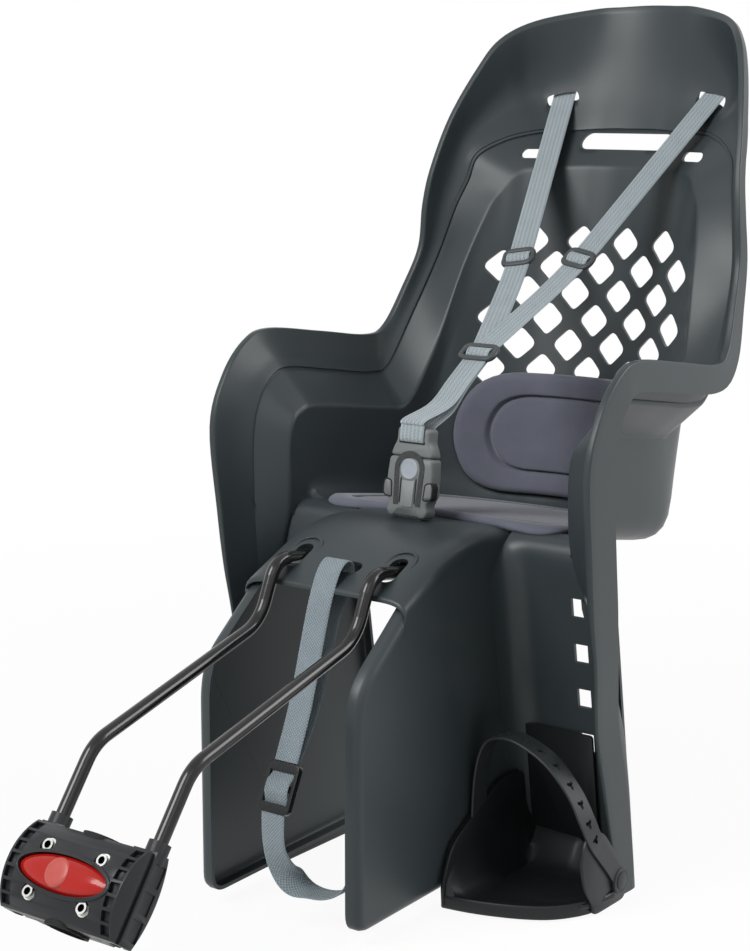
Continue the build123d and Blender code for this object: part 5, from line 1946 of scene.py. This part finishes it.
@dataclass
class Buckle:
    """Harness buckle: body, tongue, disc and side tabs. Sizes in millimetres."""

    foot: tuple = (0.0, 427.0, 215.0)
    up: tuple = (0.0, 0.154, 0.988)
    half: float = 8.0
    disc_height: float = 47.0
    disc_radius: float = 9.5
    body_side: tuple = ((20, 3), (23, 9), (20.5, 15), (24, 22), (25, 40), (23.5, 58))
    tongue_side: tuple = ((23, 58.4), (21, 66), (17.5, 72), (17.5, 85))
    track_radius: float = 13.9
    track_half: float = 3.0

    def face(self) -> FlatPlane:
        """The buckle's front plane."""
        return FlatPlane(self.foot, (1, 0, 0), self.up)

    def both_sides(self, side: Sequence[tuple[float, float]]) -> list[tuple[float, float]]:
        """A right-hand outline carried round to the left, counter-clockwise from below."""
        return [*side, *[(-x, h) for x, h in reversed(side)]]

    def track(self) -> bpy.types.Object:
        """Studded track: a low strip that runs up one side, round the disc and down the other.

        Returns:
            The track.
        """
        turn = np.linspace(0, np.pi, 33)
        arch = np.stack([np.cos(turn), np.sin(turn)], -1) * self.track_radius + [0, self.disc_height]
        rise = np.linspace(14, self.disc_height - 1, 12)
        leg = np.stack([12.2 + (rise - 14) * 0.05, rise], -1)
        line = np.concatenate([leg, arch, (leg * [-1, 1])[::-1]])
        ahead = unit(np.gradient(line, axis=0))
        aside = np.stack([-ahead[:, 1], ahead[:, 0]], -1)
        half = self.track_half
        section = ((-half, 7.6), (-half + 0.4, 8.5), (half - 0.4, 8.5), (half, 7.6))
        plane = self.face()
        grid = np.stack([plane.place(line + aside * shift, out) for shift, out in section], axis=1)
        piece = new_object("buckle_track", grid, grid_faces(*grid.shape[:2]).reshape(-1, 4).tolist())
        settle(piece)
        crease_shade(piece, 30.0)
        return piece

    def build(self) -> None:
        """Make the buckle's pieces and dress them."""
        plane = self.face()
        grey = BUCKLE.material()
        dark = FITTING.material()
        half = self.half
        rear = ((1.6, -half), (0.5, -half + 0.6), (0, -half + 2.0))
        steps = (*rear, (0, half - 2.6), (0.7, half - 0.9), (1.9, half))
        case = closed_curve(self.both_sides(self.body_side), 4, 6, 2)
        body = stepped_plate("buckle_case", plane, case, steps)
        fit(body, grey, "seat", "buckle", "buckle_body")
        track = self.track()
        fit(track, TRACK.material(), "seat", "buckle", "buckle_body")
        strip = closed_curve([(-6.2, 12.5), (6.2, 12.5), (7.2, 36.5), (-7.2, 36.5)], 1.6, 5, 2)
        spine = stepped_plate("buckle_spine", plane, strip, ((0, 7.4), (0, 8.7), (0.7, 9.1)))
        fit(spine, SPINE.material(), "seat", "buckle", "buckle_body")
        foot = closed_curve([(-15, 4.8), (15, 4.8), (9.5, 11.2), (-9.5, 11.2)], 1.2, 4, 2)
        plate = stepped_plate("buckle_foot_plate", plane, foot, ((0, 7.4), (0, 8.2), (0.5, 8.5)))
        fit(plate, dark, "seat", "buckle", "buckle_body")
        for side, name in ((1, "right"), (-1, "left")):
            # painted shade: a thin dark strip stands for the shade in each slit of the buckle's front
            slit_shade = closed_curve([(-0.7, 16), (0.7, 16), (0.7, 39), (-0.7, 39)], 0.5, 3, 2) + [side * 8.3, 0]
            groove_shade = stepped_plate(f"buckle_slit_shade_{name}", plane, slit_shade, ((0, 7.4), (0, 8.25)))
            fit(groove_shade, LINER_AND_SLOT_SHADE.material(), "seat", "buckle", "buckle_body")
            corners = [(17.6, 20), (25.2, 21.5), (26.6, 24), (26.8, 33), (25, 36.5), (18.8, 35)]
            shape = closed_curve(corners, 2.2, 4, 2) * [side, 1]
            shape = shape if side > 0 else shape[::-1]
            # painted shade: a dark plate just wider than the tab shows as a dark gap round it
            around = inset_outline(shape, -0.8)
            tab_gap_shade = stepped_plate(f"buckle_well_shade_{name}", plane, around, ((0, 0), (0, half + 0.2)))
            fit(tab_gap_shade, LINER_AND_SLOT_SHADE.material(), "seat", "buckle", "buckle_body")
            grip = ((1, -5), (0, -4), (0, 7), (0.6, 8.4), (1.8, 9.0))
            tab = stepped_plate(f"buckle_grip_{name}", plane, shape, grip)
            fit(tab, grey, f"tab_{name}", "fitting", f"buckle_tab_{name}")
        turn = full_turn(48)
        circle = np.stack([np.cos(turn), np.sin(turn)], -1) * self.disc_radius + [0, self.disc_height]
        disc_steps = ((0, 4.6), (0, 8.2), (0.4, 8.9), (1.2, 9.2), (1.9, 9.0), (2.4, 8.8), (6.0, 9.1))
        disc = stepped_plate("buckle_disc", plane, circle, disc_steps)
        fit(disc, DISC.material(), "disc", "buckle", "buckle_button")
        head = closed_curve(self.both_sides(self.tongue_side), 4, 6, 2)
        tongue = stepped_plate("buckle_head", plane, head, steps)
        fit(tongue, grey, "tongue", "buckle", "buckle_tongue")
        # painted shade: a dark plate stands for the shade in the tongue's slot
        slot_shade_outline = closed_curve([(-14.2, 70.2), (14.2, 70.2), (14.2, 73.2), (-14.2, 73.2)], 1.0, 4, 2)
        slit_shade = stepped_plate("tongue_slot_shade", plane, slot_shade_outline, ((0, half - 2), (0, half + 0.2)))
        fit(slit_shade, LINER_AND_SLOT_SHADE.material(), "tongue", "buckle", "buckle_tongue")
        blade = closed_curve([(-10, 36), (10, 36), (10, 60), (-10, 60)], 1.0, 4, 1)
        bar = stepped_plate("tongue_blade", plane, blade, ((0.4, -1.9), (0, -1.5), (0, 1.5), (0.4, 1.9)))
        fit(bar, dark, "tongue", "buckle", "buckle_tongue")


@dataclass
class SafetyStrap:
    """Strap through the apron, its lock and the tail to the leg. Sizes in millimetres."""

    width: float = 25.0
    thickness: float = 1.6
    lock_place: tuple = (0.0, 236.6, 13.0)
    lock_up: tuple = (0.0, 0.44, 0.898)
    loop: tuple = (
        (247.4, 32.4), (262, 50), (279, 80), (292, 112), (304, 146), (318, 170), (327, 184), (327, 195),
        (317, 200), (305, 191), (294, 168), (284, 138), (274, 105), (264, 75), (254, 53), (245.2, 34),
    )
    tail: tuple = (
        (0, 226.8, -6.9), (0, 225, -28), (1, 231, -51), (6, 241, -69), (18, 250, -80), (36, 253, -82),
        (55, 252, -75), (69, 250, -63), (76, 249, -47),
    )
    tail_across: tuple = (
        (1, 0, 0), (1, 0, 0), (0.94, 0.34, 0), (0.6, 0.8, 0), (0.25, 0.97, 0), (0, 1, 0), (0, 1, 0),
        (0, 1, 0), (0, 1, 0),
    )

    def lock_wrap(self) -> np.ndarray:
        """Strap inside the lock: behind its upper bar, over its middle bar and behind its lower bar."""
        plane = FlatPlane(self.lock_place, (1, 0, 0), self.lock_up)
        upper = ((21, -1.2), (15, -1.4), (10, 1.0), (5, 4.4))
        stops = np.array([*upper, (0, 5.0), *((-rise, out) for rise, out in reversed(upper))])
        line = smooth_rail(np.insert(stops, 0, 0.0, axis=1), 6)
        return plane.place(line[:, :2], line[:, 2])

    def build(self) -> None:
        cloth = SAFETY_CLOTH.material()
        black = LOCK.material()
        route = np.array([(0, y, z) for y, z in self.loop], dtype=float) * MM
        path = nurbs_path(route)
        wide, thick = self.width * MM, self.thickness * MM
        level = np.tile([1.0, 0, 0], (len(path), 1))
        loop = strap_ribbon("safety_web", path, level, wide, thick)
        fit(loop, cloth, "seat", "webbing", "safety_strap")
        tail_path = nurbs_path(np.array(self.tail, dtype=float) * MM)
        turn = smooth_rail(np.array(self.tail_across, dtype=float), 12)
        pick = np.linspace(0, len(turn) - 1, len(tail_path)).round().astype(int)
        tail = strap_ribbon("safety_tail_web", tail_path, turn[pick], wide, thick)
        fit(tail, cloth, "seat", "webbing", "safety_strap_tail")
        wrap_path = self.lock_wrap()
        wrap = strap_ribbon("safety_wrap", wrap_path, np.tile([1.0, 0, 0], (len(wrap_path), 1)), wide, thick)
        fit(wrap, cloth, "seat", "webbing", "ladder_lock")
        lock = solid_copy("ladder_lock", 0.0011, 3)
        fit(lock, black, "seat", "fitting", "ladder_lock")


def main() -> None:
    """Build every sub-assembly in order."""
    logging.basicConfig(level=logging.INFO, format="%(message)s")
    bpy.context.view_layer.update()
    Studio().build()
    shell = SeatShell()
    shell.build()
    shell.dress()
    ClampBlock().build()
    FootRests().build()
    Pads().build()
    Harness().build()
    Buckle().build()
    SafetyStrap().build()


if __name__ == "__main__":
    main()
